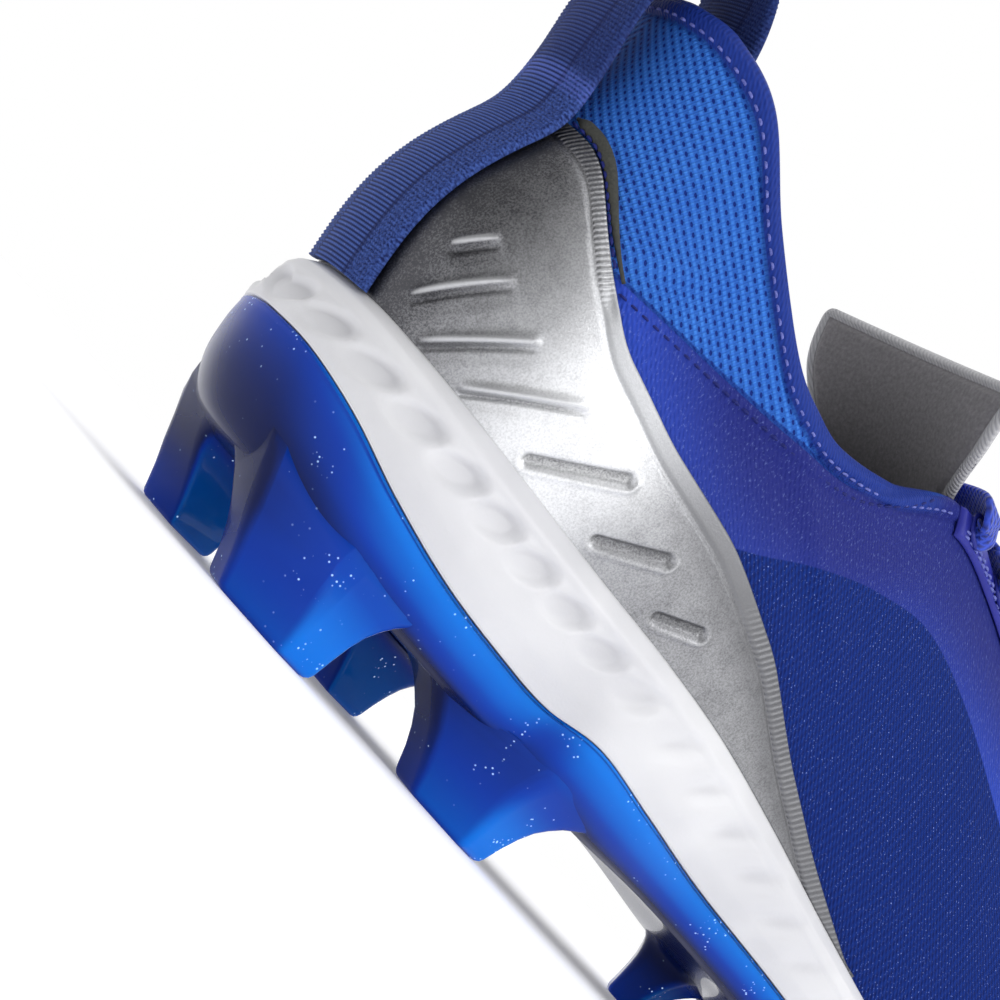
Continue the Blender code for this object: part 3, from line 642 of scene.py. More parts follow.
def outsolePlastic(pen):
    where = pen.place()
    # painted light: lighter where the plastic faces a fixed light way and at its thin edges, as if lit
    # through; navy is painted shade, bright is painted light
    paintedLight = pen.facing(outsole["lightWay"]).rise(-0.1, 1.0) * 0.7 + pen.value("thin") * 0.55
    deep = pen.blend(paintedLight.rise(0.05, 0.6), outsole["navy"], outsole["royal"])
    body = pen.blend(paintedLight.rise(0.5, 1.1), deep, outsole["bright"])
    body = pen.blend(pen.value("panel"), body, outsole["panel"])
    # glitter flakes set in the plastic, glowing as painted glints, in drifts where the painted light falls
    cells = {"Vector": where, "Scale": 1 / outsole["flakeCell"]}
    speck = pen.make("ShaderNodeTexVoronoi", {}, cells, "Distance")
    chance = pen.make("ShaderNodeTexVoronoi", {}, cells, "Color")
    pick = pen.make("ShaderNodeSeparateColor", {}, {"Color": chance}, "Red")
    crowd = pen.noise(where, 0.1, 3.0).rise(0.5, 0.68) * paintedLight.rise(0.15, 0.6)
    flakeGlint = speck.rise(0.28, 0.1) * (pick + crowd * 0.72).rise(0.95, 1.08)
    return {"Base Color": body, "Roughness": 0.25, "Specular IOR Level": 0.05, "Coat Weight": 0.27,
            "Coat Roughness": 0.03, "Coat IOR": 1.45, "Emission Strength": 0.9,
            "Emission Color": pen.blend(flakeGlint, outsole["noFlake"], outsole["flakeGlint"]),
            "Subsurface Weight": 0.12, "Subsurface Radius": (0.001, 0.003, 0.008), "Subsurface Scale": 1.0}


makePiece("outsole_plate_and_studs", outsolePart(), makeMaterial("outsolePlastic", outsolePlastic),
          ("outsole",))

# midsole
midsole = {
    "spacing": (2.4, 1.2, 0.6, 1.8), "rows": 44,
    "fullness": ((0.0, 0.0), (0.25, 0.5), (0.85, 0.4), (1.0, -0.6)),   # height share and outward step
    "dimplePitch": 8.6, "dimpleDeep": 1.7, "dimpleWide": 4.9, "dimpleTall": 3.0, "dimpleDrop": 6.7,
    "dimpleTilt": 0.45, "dimpleRise": 0.2, "dimpleEnd": 84.0,
    "wavePitch": 9.6, "waveDeep": 1.0, "waveDrop": 6.0, "waveTall": 4.0, "waveTilt": 0.9, "waveEnd": 200.0,
    "rimBand": 3.2, "bandDeep": 0.35, "bandFade": (14, 6), "plates": (3.0, 8),
    "rimSteps": ((1.0, 0.25), (1.5, 0.2)),   # inset and lift over the rim
    # the last colour is painted shade for the pressed scales and wave dips
    "white": colour(212, 212, 215), "shade": colour(202, 202, 206), "pit": colour(160, 160, 166),
}


def midsoleBed(walk):
    return insetPoint(walk, sole("lean", walk) + build["lip"], sole("rim", walk) - build["bedDepth"])


def midsolePart():
    walks = roundWalk(midsole["spacing"])
    away = np.abs(runAt(walks))
    gap = build["gap"]
    rim, lean, tuck = sole("rim", walks), sole("lean", walks), sole("tuck", walks)
    foot = sole("edge", walks) + gap * 0.4
    low = [cupPoint(walks, inset, rise, wall + gap, lift + gap)
           for inset, rise, wall, lift in outsole["inside"][::-1]]
    steps, outs = zip(*midsole["fullness"])
    heel = 1 - smooth(midsole["dimpleEnd"] - 20, midsole["dimpleEnd"] + 10, away)
    front = (1 - heel) * (1 - smooth(midsole["waveEnd"] - 60, midsole["waveEnd"], away))
    wall, shadedPits = [], []
    for share in np.linspace(0, 1, midsole["rows"]):
        z = foot + (rim - foot) * share
        out = np.interp(share, steps, outs) + 0.25 * math.sin(math.pi * share)
        inset = tuck * max(0.0, 0.7 - share) + lean * share ** 2 - out
        drop = rim - z
        # scales pressed in the heel half, slanting waves in the front half
        slid = (away + midsole["dimpleTilt"] * drop) / midsole["dimplePitch"]
        ahead = (slid - np.floor(slid) - 0.5) * midsole["dimplePitch"]
        across = ahead / midsole["dimpleWide"]
        tall = (drop - midsole["dimpleDrop"] + midsole["dimpleRise"] * ahead) / midsole["dimpleTall"]
        pit = smooth(1.04, 0.5, np.hypot(across, tall)) * (0.5 + 0.3 * across - 0.28 * np.clip(tall, -1, 1))
        wave = np.cos(2 * math.pi * (away + midsole["waveTilt"] * drop) / midsole["wavePitch"])
        wave = (0.5 + 0.5 * wave) ** 1.6 * bell(drop - midsole["waveDrop"], midsole["waveTall"])
        band = midsole["bandDeep"] * smooth(midsole["rimBand"] - 0.4, midsole["rimBand"] + 0.8, drop)
        band = band * smooth(*midsole["bandFade"], drop)
        inset = inset + heel * (pit * midsole["dimpleDeep"] + band)
        inset = inset + front * (wave * midsole["waveDeep"] + band * 0.5)
        # how deep each point lies in a scale or wave dip, kept for the painted shade there
        shadedPits.append(heel * pit + front * wave * 0.5)
        wall.append(insetPoint(walks, inset, z))
    inner = [insetPoint(walks, lean + step, rim + lift) for step, lift in midsole["rimSteps"]]
    inner += [insetPoint(walks, lean + build["lip"], rim), midsoleBed(walks)]
    points = np.stack(low + wall + inner, 1)
    plain = np.zeros(len(walks))
    shadedPits = np.stack([plain] * len(low) + shadedPits + [plain] * len(inner), 1)
    side = points, gridFaces(len(walks), points.shape[1], closeColumns=True), {"pit": shadedPits.ravel()}
    inset, lift = outsole["inside"][-1][2:]
    under = solePlate(midsole["plates"], cupFloor(inset + gap, lift + gap), waistArch, -1)
    over = solePlate(midsole["plates"], midsoleBed, noArch, 1)
    return joinParts([side, under + ({"pit": 0.0},), over + ({"pit": 0.0},)])


def midsoleFoam(pen):
    where = pen.place()
    grain = pen.noise(where, 2.2, 3.0)
    tone = pen.blend(pen.noise(where, 0.05).rise(0.35, 0.7), midsole["white"], midsole["shade"])
    # painted shade: the foam darker in the pressed scales and wave dips
    tone = pen.blend(pen.value("pit").rise(0.2, 1.0) * 0.6, tone, midsole["pit"])
    return {"Base Color": tone, "Roughness": 0.42, "Specular IOR Level": 0.4, "Coat Weight": 0.15,
            "Coat Roughness": 0.3, "Normal": pen.bump(grain, 0.03), "Subsurface Weight": 0.15,
            "Subsurface Radius": (0.003, 0.003, 0.003), "Subsurface Scale": 1.0}


makePiece("midsole_foam_body", midsolePart(), makeMaterial("midsoleFoam", midsoleFoam),
          ("midsole",))

# upper, and the line of the counter over it
upper = {
    "spacing": (2.0, 0.95, 0.5, 1.7), "rows": 96, "crownRows": 10, "innerRows": 26, "outsideLine": -30.0,
    # station and height: mesh above the seam, film above the film line
    "seam": ((14, 65), (20, 65.6), (30, 67.2), (42, 69.4), (57, 72.4), (72, 76.4), (84, 83), (93, 90)),
    "film": ((55, 53), (64, 58), (76, 65), (90, 71), (106, 75), (126, 73), (150, 65),
             (176, 55.5), (204, 47.5), (236, 44), (262, 45), (279, 47)),
    "creases": (   # station, height, long, deep, wide, tilt
        (24, 70, 11, 0.5, 2.2, 0.5), (48, 66, 16, 0.35, 3.2, 0.25), (70, 64, 18, 0.4, 3.5, -0.4),
        (206, 44, 22, 0.6, 3.0, 1.6), (220, 42, 20, 0.5, 3.0, 1.5)),
    "seamEnd": (82, 90), "bareEnd": (9.5, 8.2), "collarEnd": (9.6, 8.6), "foldDeep": 0.5, "foldFade": 5.0,
    "stitchDrop": 2.4, "stitchSink": 0.22,
    "binding": 2.7, "bindingRise": 0.5, "puffDeep": 0.45, "puffPitch": 13.0, "puffDrop": 14.0,
    "holeAcross": 1.45, "holeAlong": 1.5, "holeTurn": 28.0, "yarnPitch": 0.38,
    "filmRibs": 7.5, "knitRibs": 6.4, "knitWales": 4.6,
    "meshEnd": (112.0, 106.0), "bindingEnd": (112.0, 104.0),
    # the hole colour is painted shade in the mesh gaps and the painted shadow under folded edges
    "mesh": colour(64, 128, 216), "meshShade": colour(34, 88, 184), "holeShade": colour(12, 38, 116),
    "bindingNavy": colour(30, 56, 142), "bindingDeep": colour(20, 34, 100),
    "filmBlue": colour(40, 72, 182), "filmDeep": colour(28, 36, 112), "knit": colour(5, 42, 122),
    "knitShade": colour(3, 22, 84), "fleck": colour(150, 170, 235),
    "lining": colour(84, 82, 86), "liningShade": colour(56, 54, 58),
}
counter = {
    "edge": ((0, 77.0), (8, 76.0), (17, 67.0), (27, 60.5), (42, 57.5), (60, 56.0), (80, 51.5), (98, 44.4),
             (114, 38.6), (136, 31.8)),
    "edgeSoften": (-2.4, -1.2, 0.0, 1.2, 2.4), "leastTall": 0.6,
    "end": 10.4, "fineFrom": -0.6, "fineTo": 7.2, "spacing": (0.95, 0.36, 0.9),
    "rows": 94, "footLift": 0.1, "rimRound": 0.5,
    # pressed slots: station and height of each end
    "slots": (((6.4, 52), (9.0, 57)), ((6.4, 44), (12.6, 54.5)), ((9.4, 40.6), (19, 51.5)),
              ((16, 40.4), (29, 51)), ((28, 40.6), (41, 50.4)), ((43, 41), (54, 48)),
              ((58, 41), (66.5, 45.4))),
    "louvres": 4, "ovalHalf": 1.3, "ovalDeep": 0.8, "ovalRim": 0.3, "ridge": 0.7, "crease": 0.6,
    "grooveDeep": 0.3, "stepDeep": 0.35, "dentDeep": 0.5, "softDeep": 0.12,
    "notch": 20.0, "webEdge": (9.4, 11.0), "bandWide": 3.3, "ribPitch": 0.74, "tailPitch": 0.95,
    "foil": colour(198, 199, 202), "foilShade": colour(78, 78, 82), "satin": colour(166, 167, 170),
    # the brightest tone is a painted highlight, and the slot colour is painted shade
    "paintedHighlight": colour(240, 241, 243), "slotShade": colour(36, 36, 39),
}


def counterTop(walk):
    stations, heights = zip(*counter["edge"])
    y = sole("y", walk)
    height = sum(np.interp(y + step, stations, heights) for step in counter["edgeSoften"])
    return np.maximum(height / len(counter["edgeSoften"]), sole("rim", walk) + counter["leastTall"])


def upperRelief(walks, away, z, seam, edge):
    clear = z - counterTop(walks)
    walk = np.abs(walks)
    bare = smooth(0.2, 1.6, clear) * smooth(*upper["bareEnd"], walk)
    # folded edge of the quarter over the mesh
    notchRun = runAtY(counter["notch"])
    first, last = (runAtY(y) for y in upper["seamEnd"])
    sewn = smooth(notchRun - 3, notchRun + 2, away) * smooth(last, first, away)
    fold = upper["foldDeep"] * smooth(-0.5, 0.25, seam) * bell(np.maximum(seam, 0), upper["foldFade"])
    fold = fold - 0.3 * bell(seam + 0.9, 0.6) - upper["stitchSink"] * bell(seam - upper["stitchDrop"], 0.45)
    # rolled binding and soft fullness of the collar
    middle = upper["binding"] / 2
    roll = np.sqrt(np.maximum(1 - ((edge - middle) / middle) ** 2, 0)) * upper["bindingRise"]
    roll = roll - 0.35 * bell(edge - upper["binding"] - 0.25, 0.5)
    puff = upper["puffDeep"] * np.sin(away / upper["puffPitch"]) * bell(edge - upper["puffDrop"], 7)
    # soft creases: at the notch, under the collar dip and across the flex of the vamp
    crease = np.zeros(z.shape)
    for y, height, long, deep, wide, tilt in upper["creases"]:
        along = away - runAtY(y)
        cross = (z - height) - along * tilt
        crease += deep * (bell(cross - wide, wide) - bell(cross, wide * 0.7)) * bell(along, long)
    collar = smooth(*upper["collarEnd"], walk)
    return bare * fold * sewn + collar * (roll + bare * puff) + crease * smooth(0.3, 2.5, clear)


def upperPart():
    walks = roundWalk(upper["spacing"])[:, None]
    u = np.linspace(0, 1, upper["rows"])
    levels = u / 2 + np.arcsin(np.sqrt(u)) / math.pi
    outer = wallPoint(walks, levels)
    away = np.broadcast_to(np.abs(runAt(walks)), outer.shape[:2])
    z = outer[..., 2]
    high = lengthAlong(np.swapaxes(outer, 0, 1)).T
    edge = high[:, -1:] - high
    seam = belowLine(lineOf(upper["seam"]), away, z)
    film = belowLine(lineOf(upper["film"]), away, z)
    relief = upperRelief(walks, away, z, seam, edge) * smooth(0, 0.06, u)
    outer = outer + wallNormal(walks, levels) * relief[..., None]
    # rounded edge of the opening, and the inside
    thick = wallThick(walks, 1.0)
    top = wallPoint(walks, 1.0)
    out = wallNormal(walks, 0.97)
    rise = unit(top - wallPoint(walks, 0.97))
    turn = np.linspace(0, math.pi, upper["crownRows"] + 2)[1:-1]
    start = outer[:, -1:] - top
    crown = top + start * ((1 + np.cos(turn)) / 2)[:, None]
    crown = crown - out * (thick * (1 - np.cos(turn)) / 2)[..., None]
    crown = crown + rise * (thick * 0.2 * np.sin(turn))[..., None]
    innerLevels = np.linspace(1, 0, upper["innerRows"])
    inner = offWall(walks, innerLevels, -wallThick(walks, innerLevels))
    walk = walks[:, 0]
    skirt = sole("lean", walk) + build["lip"] + build["gap"]
    foot = sole("rim", walk) - build["bedDepth"] + build["gap"]
    parts = [insetPoint(walk, skirt, foot)[:, None], outer, crown, inner,
             insetPoint(walk, skirt + build["skinWall"], foot)[:, None]]
    points = np.concatenate(parts, 1)
    sizes = [part.shape[1] for part in parts]

    def spread(main, beyond):
        # a value of the outer face, carried to the skirt, and one for the rest
        rest = np.broadcast_to(beyond, (len(walk), sizes[2] + sizes[3] + 1))
        return np.concatenate((main[:, :1], main, rest), 1).ravel()

    inside = np.concatenate((np.zeros(1 + sizes[1]), np.linspace(0, 1, sizes[2]), np.ones(sizes[3] + 1)))
    values = {"edge": spread(edge, 0.0), "seam": spread(seam, upper["outsideLine"]),
              "film": spread(film, upper["outsideLine"]), "run": spread(away, away[:, :1]),
              "high": spread(high, high[:, -1:]), "inside": overGrid(inside, points)}
    return points, gridFaces(len(walk), points.shape[1], closeColumns=True, closeRows=True), values


def upperKnit(pen):
    where = pen.place()
    run, high = pen.value("run"), pen.value("high")
    edge, seam, film = pen.value("edge"), pen.value("seam"), pen.value("film")
    # open mesh: columns of bars wound with thread, and narrow gaps staggered between them
    turn = math.radians(upper["holeTurn"])
    column = (run * math.sin(turn) + high * math.cos(turn)) / upper["holeAcross"]
    bar = (run * math.cos(turn) - high * math.sin(turn)) / upper["holeAlong"] + column.floor() * 0.5
    across = (column.part() - 0.5) / 0.16
    along = (bar.part() - 0.5) / 0.27
    # painted shade in the mesh openings and between the bars
    holeShade = across.reach(along).rise(1.3, 0.7)
    gap = (across.size().rise(2.6, 1.4) * 0.3).most(holeShade)
    knot = (bar * (4 * math.pi)).wave() * across.size().rise(0.9, 2.6)
    wound = (bar * (2 * math.pi * upper["holeAlong"] / upper["yarnPitch"])).wave()
    tone = pen.noise(where, 0.25)
    mesh = pen.blend(tone * 0.45 + wound * 0.2 + knot * 0.45, upper["meshShade"], upper["mesh"])
    mesh = pen.blend(gap, mesh, upper["holeShade"])
    # rolled binding round the opening
    thread = (run * 9.0 + high * 5.0).wave()
    binding = pen.blend(thread * 0.4 + tone * 0.3, upper["bindingNavy"], upper["bindingDeep"])
    # film over the quarter, and the knit below it
    ribbed = ((run + high * 0.5) * upper["filmRibs"]).wave()
    fleck = pen.noise(pen.together(run * 1.6, high * 0.9), 1.6, 2.0, 0.7).rise(0.56, 0.74)
    quarter = pen.blend(edge.rise(38.0, 10.0), upper["filmBlue"], upper["filmDeep"])
    quarter = pen.blend(ribbed * 0.25, quarter, upper["filmDeep"])
    quarter = pen.blend(fleck * 0.22, quarter, upper["fleck"])
    rib = ((run * 0.8 + high) * upper["knitRibs"]).wave()
    wale = ((run - high * 0.25) * upper["knitWales"]).wave()
    cell = rib * 0.6 + wale * 0.4
    knit = pen.blend(cell, upper["knitShade"], upper["knit"])
    spark = pen.noise(pen.together(run * 2.4, high * 2.4), 1.4, 1.0).rise(0.66, 0.74) * cell
    knit = pen.blend(spark * 0.8, knit, upper["fleck"])
    isKnit = film.rise(-0.15, 0.15)
    body = pen.blend(isKnit, quarter, knit)
    byMesh, byBinding = run.rise(*upper["meshEnd"]), run.rise(*upper["bindingEnd"])
    isMesh = seam.rise(0.1, -0.1) * byMesh
    body = pen.blend(isMesh, body, mesh)
    # shadow of the folded edges
    body = pen.blend((seam + 0.35).size().rise(0.6, 0.25) * byMesh * 0.75, body, upper["holeShade"])
    wide = upper["binding"]
    isBinding = edge.rise(wide + 0.15, wide - 0.15) * byBinding
    # painted shadow: a thin dark line below the binding
    body = pen.blend(edge.rise(wide + 0.8, wide + 0.2) * byBinding * 0.6, body, upper["holeShade"])
    body = pen.blend(isBinding, body, binding)
    lining = pen.blend(pen.noise(where, 1.4, 3.0), upper["lining"], upper["liningShade"])
    body = pen.blend(pen.value("inside").rise(0.45, 0.7), body, lining)
    woven = isMesh * (1 - isBinding)
    height = woven * ((1 - gap) * 0.55 + knot * 0.35 + wound * 0.15)
    height = height + (1 - woven) * (cell * 0.35 + 0.3 + thread * 0.1)
    return {"Base Color": body, "Roughness": woven * 0.1 + isKnit * 0.12 + 0.55, "Specular IOR Level": 0.1,
            "Normal": pen.bump(height, 0.3)}


makePiece("upper_knit_shell", upperPart(), makeMaterial("upperKnit", upperKnit), ("upper",))


# overlays cut from the upper's own face
def overlayPart(walks, low, high, relief, rows, skin, rimRound, edgeSkin=0.15):
    walks = walks[:, None]
    levels = low(walks) + (high(walks) - low(walks)) * np.linspace(0, 1, rows)
    base = wallPoint(walks, levels)
    normal = wallNormal(walks, levels)
    up = lengthAlong(np.swapaxes(base, 0, 1)).T
    along = lengthAlong(base[:, rows // 2])[:, None]
    toTop = up[:, -1:] - up
    away = np.minimum(np.minimum(up, toTop), np.minimum(along, along[-1] - along))
    raised = np.sqrt(np.maximum(1 - (1 - np.clip(away / rimRound, 0, 1)) ** 2, 0.0))
    run = np.broadcast_to(runAt(walks), levels.shape)
    lift = build["gap"] + edgeSkin + (skin - edgeSkin + relief(run, base, toTop)) * raised
    outer = base + normal * lift[..., None]
    inner = base + normal * build["gap"]
    points = np.concatenate((outer, inner[:, ::-1]), 1)
    values = {"run": run, "toTop": toTop, "station": base[..., 1], "tall": base[..., 2]}
    both = {name: np.concatenate((value, value[:, ::-1]), 1).ravel() for name, value in values.items()}
    return points, skinFaces(len(walks), 2 * rows), both


def slotRelief(run, z):
    # slots pressed into the foil: louvres with a ridge above a sharp crease, then hollow ovals with a rim
    total = np.zeros(run.shape)
    for k, ends in enumerate(counter["slots"]):
        a, b = (np.array((runAtY(y), height)) for y, height in ends)
        way = unit(b - a)
        half = np.linalg.norm(b - a) / 2
        middle = (a + b) / 2
        along = ((run - middle[0]) * way[0] + (z - middle[1]) * way[1]) / half
        cross = -(run - middle[0]) * way[1] + (z - middle[1]) * way[0]
        if k < counter["louvres"]:
            taper = np.sqrt(np.maximum(1 - (np.abs(along) / 1.1) ** 3, 0)) * smooth(1.1, 0.95, np.abs(along))
            swell = np.where(cross > 0.45, bell(cross - 0.45, 0.85), bell(cross - 0.45, 0.38))
            total += taper * (counter["ridge"] * swell - counter["crease"] * bell(cross + 0.45, 0.38))
            total -= taper * 0.2 * bell(cross + 1.5, 0.9)
        else:
            past = np.maximum(np.abs(along) * half - half + counter["ovalHalf"], 0)
            inside = counter["ovalHalf"] - np.hypot(past, cross)
            rim = counter["ovalRim"] * bell(inside + 0.3, 0.4) * (0.9 + 0.6 * along)
            total += rim * smooth(0.6, -0.9, cross)
            deep = counter["ovalDeep"] * (0.75 + 0.25 * cross / counter["ovalHalf"])
            total -= deep * smooth(0.1, 0.8, inside)
    return total


def counterPart():
    breaks = (-counter["end"], counter["fineFrom"], counter["fineTo"], counter["end"])
    walks = [walkSteps(*step)[:-1] for step in zip(breaks, breaks[1:], counter["spacing"])]
    walks = np.concatenate(walks + [[counter["end"]]])

    def low(walk):
        return levelAt(walk, sole("rim", walk) + counter["footLift"])

    def high(walk):
        return levelAt(walk, counterTop(walk))

    def relief(run, base, toTop):
        away = np.abs(run)
        notchRun = runAtY(counter["notch"])
        ahead = smooth(notchRun - 1, notchRun + 3, away)
        groove = counter["grooveDeep"] * bell(toTop - counter["bandWide"], 0.4) * ahead
        step = counter["stepDeep"] * bell(toTop - counter["bandWide"] - 0.2, 0.5) * (1 - ahead)
        step = step * smooth(*counter["webEdge"], away)
        dent = np.hypot(away - runAtY(counter["notch"] + 1), (toTop - 1.4) * 1.5)
        dent = counter["dentDeep"] * bell(dent, 2.2)
        soft = counter["softDeep"] * np.sin(away / 5.3) * np.sin(base[..., 2] / 4.1)
        return slotRelief(away, base[..., 2]) - groove - step - dent + soft

    part = overlayPart(walks, low, high, relief, counter["rows"], build["counterSkin"], counter["rimRound"])
    # the slots' relief, kept for painted light on their ridges and painted shade in their hollows
    part[2]["press"] = slotRelief(np.abs(part[2]["run"]), part[2]["tall"])
    return part


def counterFoil(pen):
    where = pen.place()
    run, station = pen.value("run").size(), pen.value("station")
    toTop, press = pen.value("toTop"), pen.value("press")
    grain = pen.noise(where, 3.2, 4.0, 0.7)
    # painted shade of the reflection: foil darker towards the webbing and forward, mixed with its own sandy
    # grain
    side = run.rise(36.0, 10.0) + station.rise(32.0, 62.0) * 0.5
    sand = pen.noise(where, 0.3, 2.0).rise(0.4, 0.8) * 0.12 + grain.rise(0.35, 0.7) * 0.3
    foil = pen.blend(sand + side * 0.85, counter["foil"], counter["foilShade"])
    # painted highlight: a bright patch in the middle of the foil
    paintedHighlight = station.rise(18.0, 29.0) * station.rise(48.0, 36.0) * toTop.rise(2.0, 7.0)
    foil = pen.blend(paintedHighlight * (0.82 - sand), foil, counter["paintedHighlight"])
    # painted light on the raised slot ridges
    foil = pen.blend(press.rise(0.25, 0.65) * 0.8, foil, counter["foil"])
    # painted shade in the slot hollows
    hollow = press.rise(-0.15, -0.8) * (grain.rise(0.3, 0.7) * 0.35 + 0.5)
    foil = pen.blend(hollow, foil, counter["slotShade"])
    # smooth band along the edge, ribbed beside the webbing and on the tail
    wide, notch = counter["bandWide"], counter["notch"]
    ahead = station.rise(notch - 1, notch + 2)
    satin = toTop.rise(wide + 0.1, wide - 0.3) * ahead
    foil = pen.blend(satin * 0.8, foil, counter["satin"])
    # painted shade of the reflection: the upper band darker forward
    foil = pen.blend(station.rise(34.0, 54.0) * toTop.rise(10.0, 2.0) * 0.6, foil, counter["foilShade"])
    across = (run * 0.78 - pen.value("tall") * 0.62) * (2 * math.pi)
    ribs = (1 - ahead) * run.rise(9.4, 10.8) * (across / counter["ribPitch"]).wave()
    tailRibs = station.rise(66.0, 76.0) * (across / counter["tailPitch"]).wave() * 0.7
    ribbed = toTop.rise(wide, wide - 0.3) * (ribs + tailRibs)
    foil = pen.blend(ribbed * 0.42, foil, counter["foilShade"])
    return {"Base Color": foil, "Metallic": 0.92, "Roughness": 0.34 + grain * 0.16 + satin * 0.06,
            "Normal": pen.bump(grain * 0.3 + ribbed, 0.16)}


makePiece("heel_counter_foil", counterPart(), makeMaterial("counterFoil", counterFoil),
          ("heel_counter",))

eyestay = {
    "first": 9.0, "spacing": 1.1, "rows": 20, "high": 0.97, "low": 0.8,
    "narrow": 0.08, "narrowAt": (12.6, 17.6), "rimRound": 0.6, "sink": 0.7, "sinkEdge": 0.8,
    "eyelets": (9.35, 10.15, 10.95, 11.75, 12.55, 13.35),
    "eyeletLevel": 0.9, "eyeletWide": 2.5, "eyeletRing": 0.6,
    "violet": colour(42, 48, 148), "deep": colour(30, 32, 106),
    "ring": colour(34, 44, 140), "ringShade": colour(24, 30, 104),
}
eyeletWalks = [place * side for place in eyestay["eyelets"] for side in (1, -1)]


def eyestayPart():
    # from the outer side round the front of the throat to the inner side
    outer = walkSteps(eyestay["first"], toe - 0.02, eyestay["spacing"])
    walks = np.concatenate((outer, -outer[::-1]))

    def low(walk):
        return eyestay["low"] + eyestay["narrow"] * smooth(*eyestay["narrowAt"], np.abs(walk))

    def high(walk):
        return np.full(np.shape(walk), eyestay["high"])

    def relief(run, base, toTop):
        total = np.zeros(run.shape)
        for walk in eyeletWalks:
            away = np.linalg.norm(base - wallPoint(walk, eyestay["eyeletLevel"]), axis=-1)
            wide = eyestay["eyeletWide"]
            total -= eyestay["sink"] * smooth(wide, wide - eyestay["sinkEdge"], away)
        return total

    return overlayPart(walks, low, high, relief, eyestay["rows"], build["eyestaySkin"], eyestay["rimRound"])


def eyestayFilm(pen):
    where = pen.place()
    grain = pen.noise(where, 3.0, 3.0)
    tone = pen.blend(pen.noise(where, 0.3) * 0.6, eyestay["violet"], eyestay["deep"])
    return {"Base Color": tone, "Roughness": 0.42, "Specular IOR Level": 0.2, "Normal": pen.bump(grain, 0.05)}


makePiece("eyestay_film", eyestayPart(), makeMaterial("eyestayFilm", eyestayFilm),
          ("eyestay",))


# sweeps along a line
def sweepPart(path, normals, ring):
    # ring: points across and up, one set for each point of the path
    run = unit(np.gradient(path, axis=0))
    across = unit(np.cross(normals, run))
    up = np.cross(run, across)
    points = path[:, None] + across[:, None] * ring[..., :1] + up[:, None] * ring[..., 1:]
    count = ring.shape[1]
    faces = gridFaces(len(path), count, closeRows=True)
    faces += [list(range(count))[::-1], list(range((len(path) - 1) * count, len(path) * count))]
    along = overGrid(lengthAlong(path)[:, None], points)
    return points, faces, {"along": along, "across": ring[..., 0].ravel()}


def roundRing(wide, tall, count, power=1.0):
    turn = np.linspace(0, 2 * math.pi, count, endpoint=False)
    c, s = np.cos(turn), np.sin(turn)
    return np.stack((np.sign(c) * np.abs(c) ** power * wide, np.sign(s) * np.abs(s) ** power * tall), -1)


# webbing up the heel and its finger loop
webbing = {
    "loop": ((1.2, 84.0), (-0.6, 95.0), (0.6, 106.0), (4.6, 113.4), (10.6, 113.8), (14.2, 108.4),
             (15.2, 100.0), (15.4, 92.0)),   # y and z
    "stripFoot": 0.8, "stripTop": 75.0, "stripRows": 24, "loopRows": 120, "bowFirst": 3.0, "bowLast": 7.0,
    "across": 30, "spacing": 0.13, "soften": (24, 24), "ribPitch": 0.62, "ribDeep": 0.1, "edgeFrom": 0.94,
    "edgeThin": 0.75, "selvedge": 4.6, "foldTall": 80.5, "loopTall": (81.0, 83.5),
    "navy": colour(64, 90, 162), "dark": colour(20, 30, 78), "fleck": colour(140, 152, 214),
    # the fold colour is a painted highlight along the kink of the strip
    "fold": colour(84, 98, 182),
}


def webWalk(x, level):
    # walk number at which the heel face is a given distance from the seam
    fine = np.linspace(0, 4, 400)
    return np.interp(x, wallPoint(fine, level)[:, 0], fine)


def softened(grid, reach):
    # running mean along the first axis, with the ends kept
    place = np.arange(len(grid))
    wide = np.minimum(np.minimum(place, place[::-1]), reach)
    total = np.concatenate((np.zeros((1,) + grid.shape[1:]), np.cumsum(grid, 0)))
    low, high = place - wide, place + wide + 1
    return (total[high] - total[low]) / (high - low)[:, None, None]


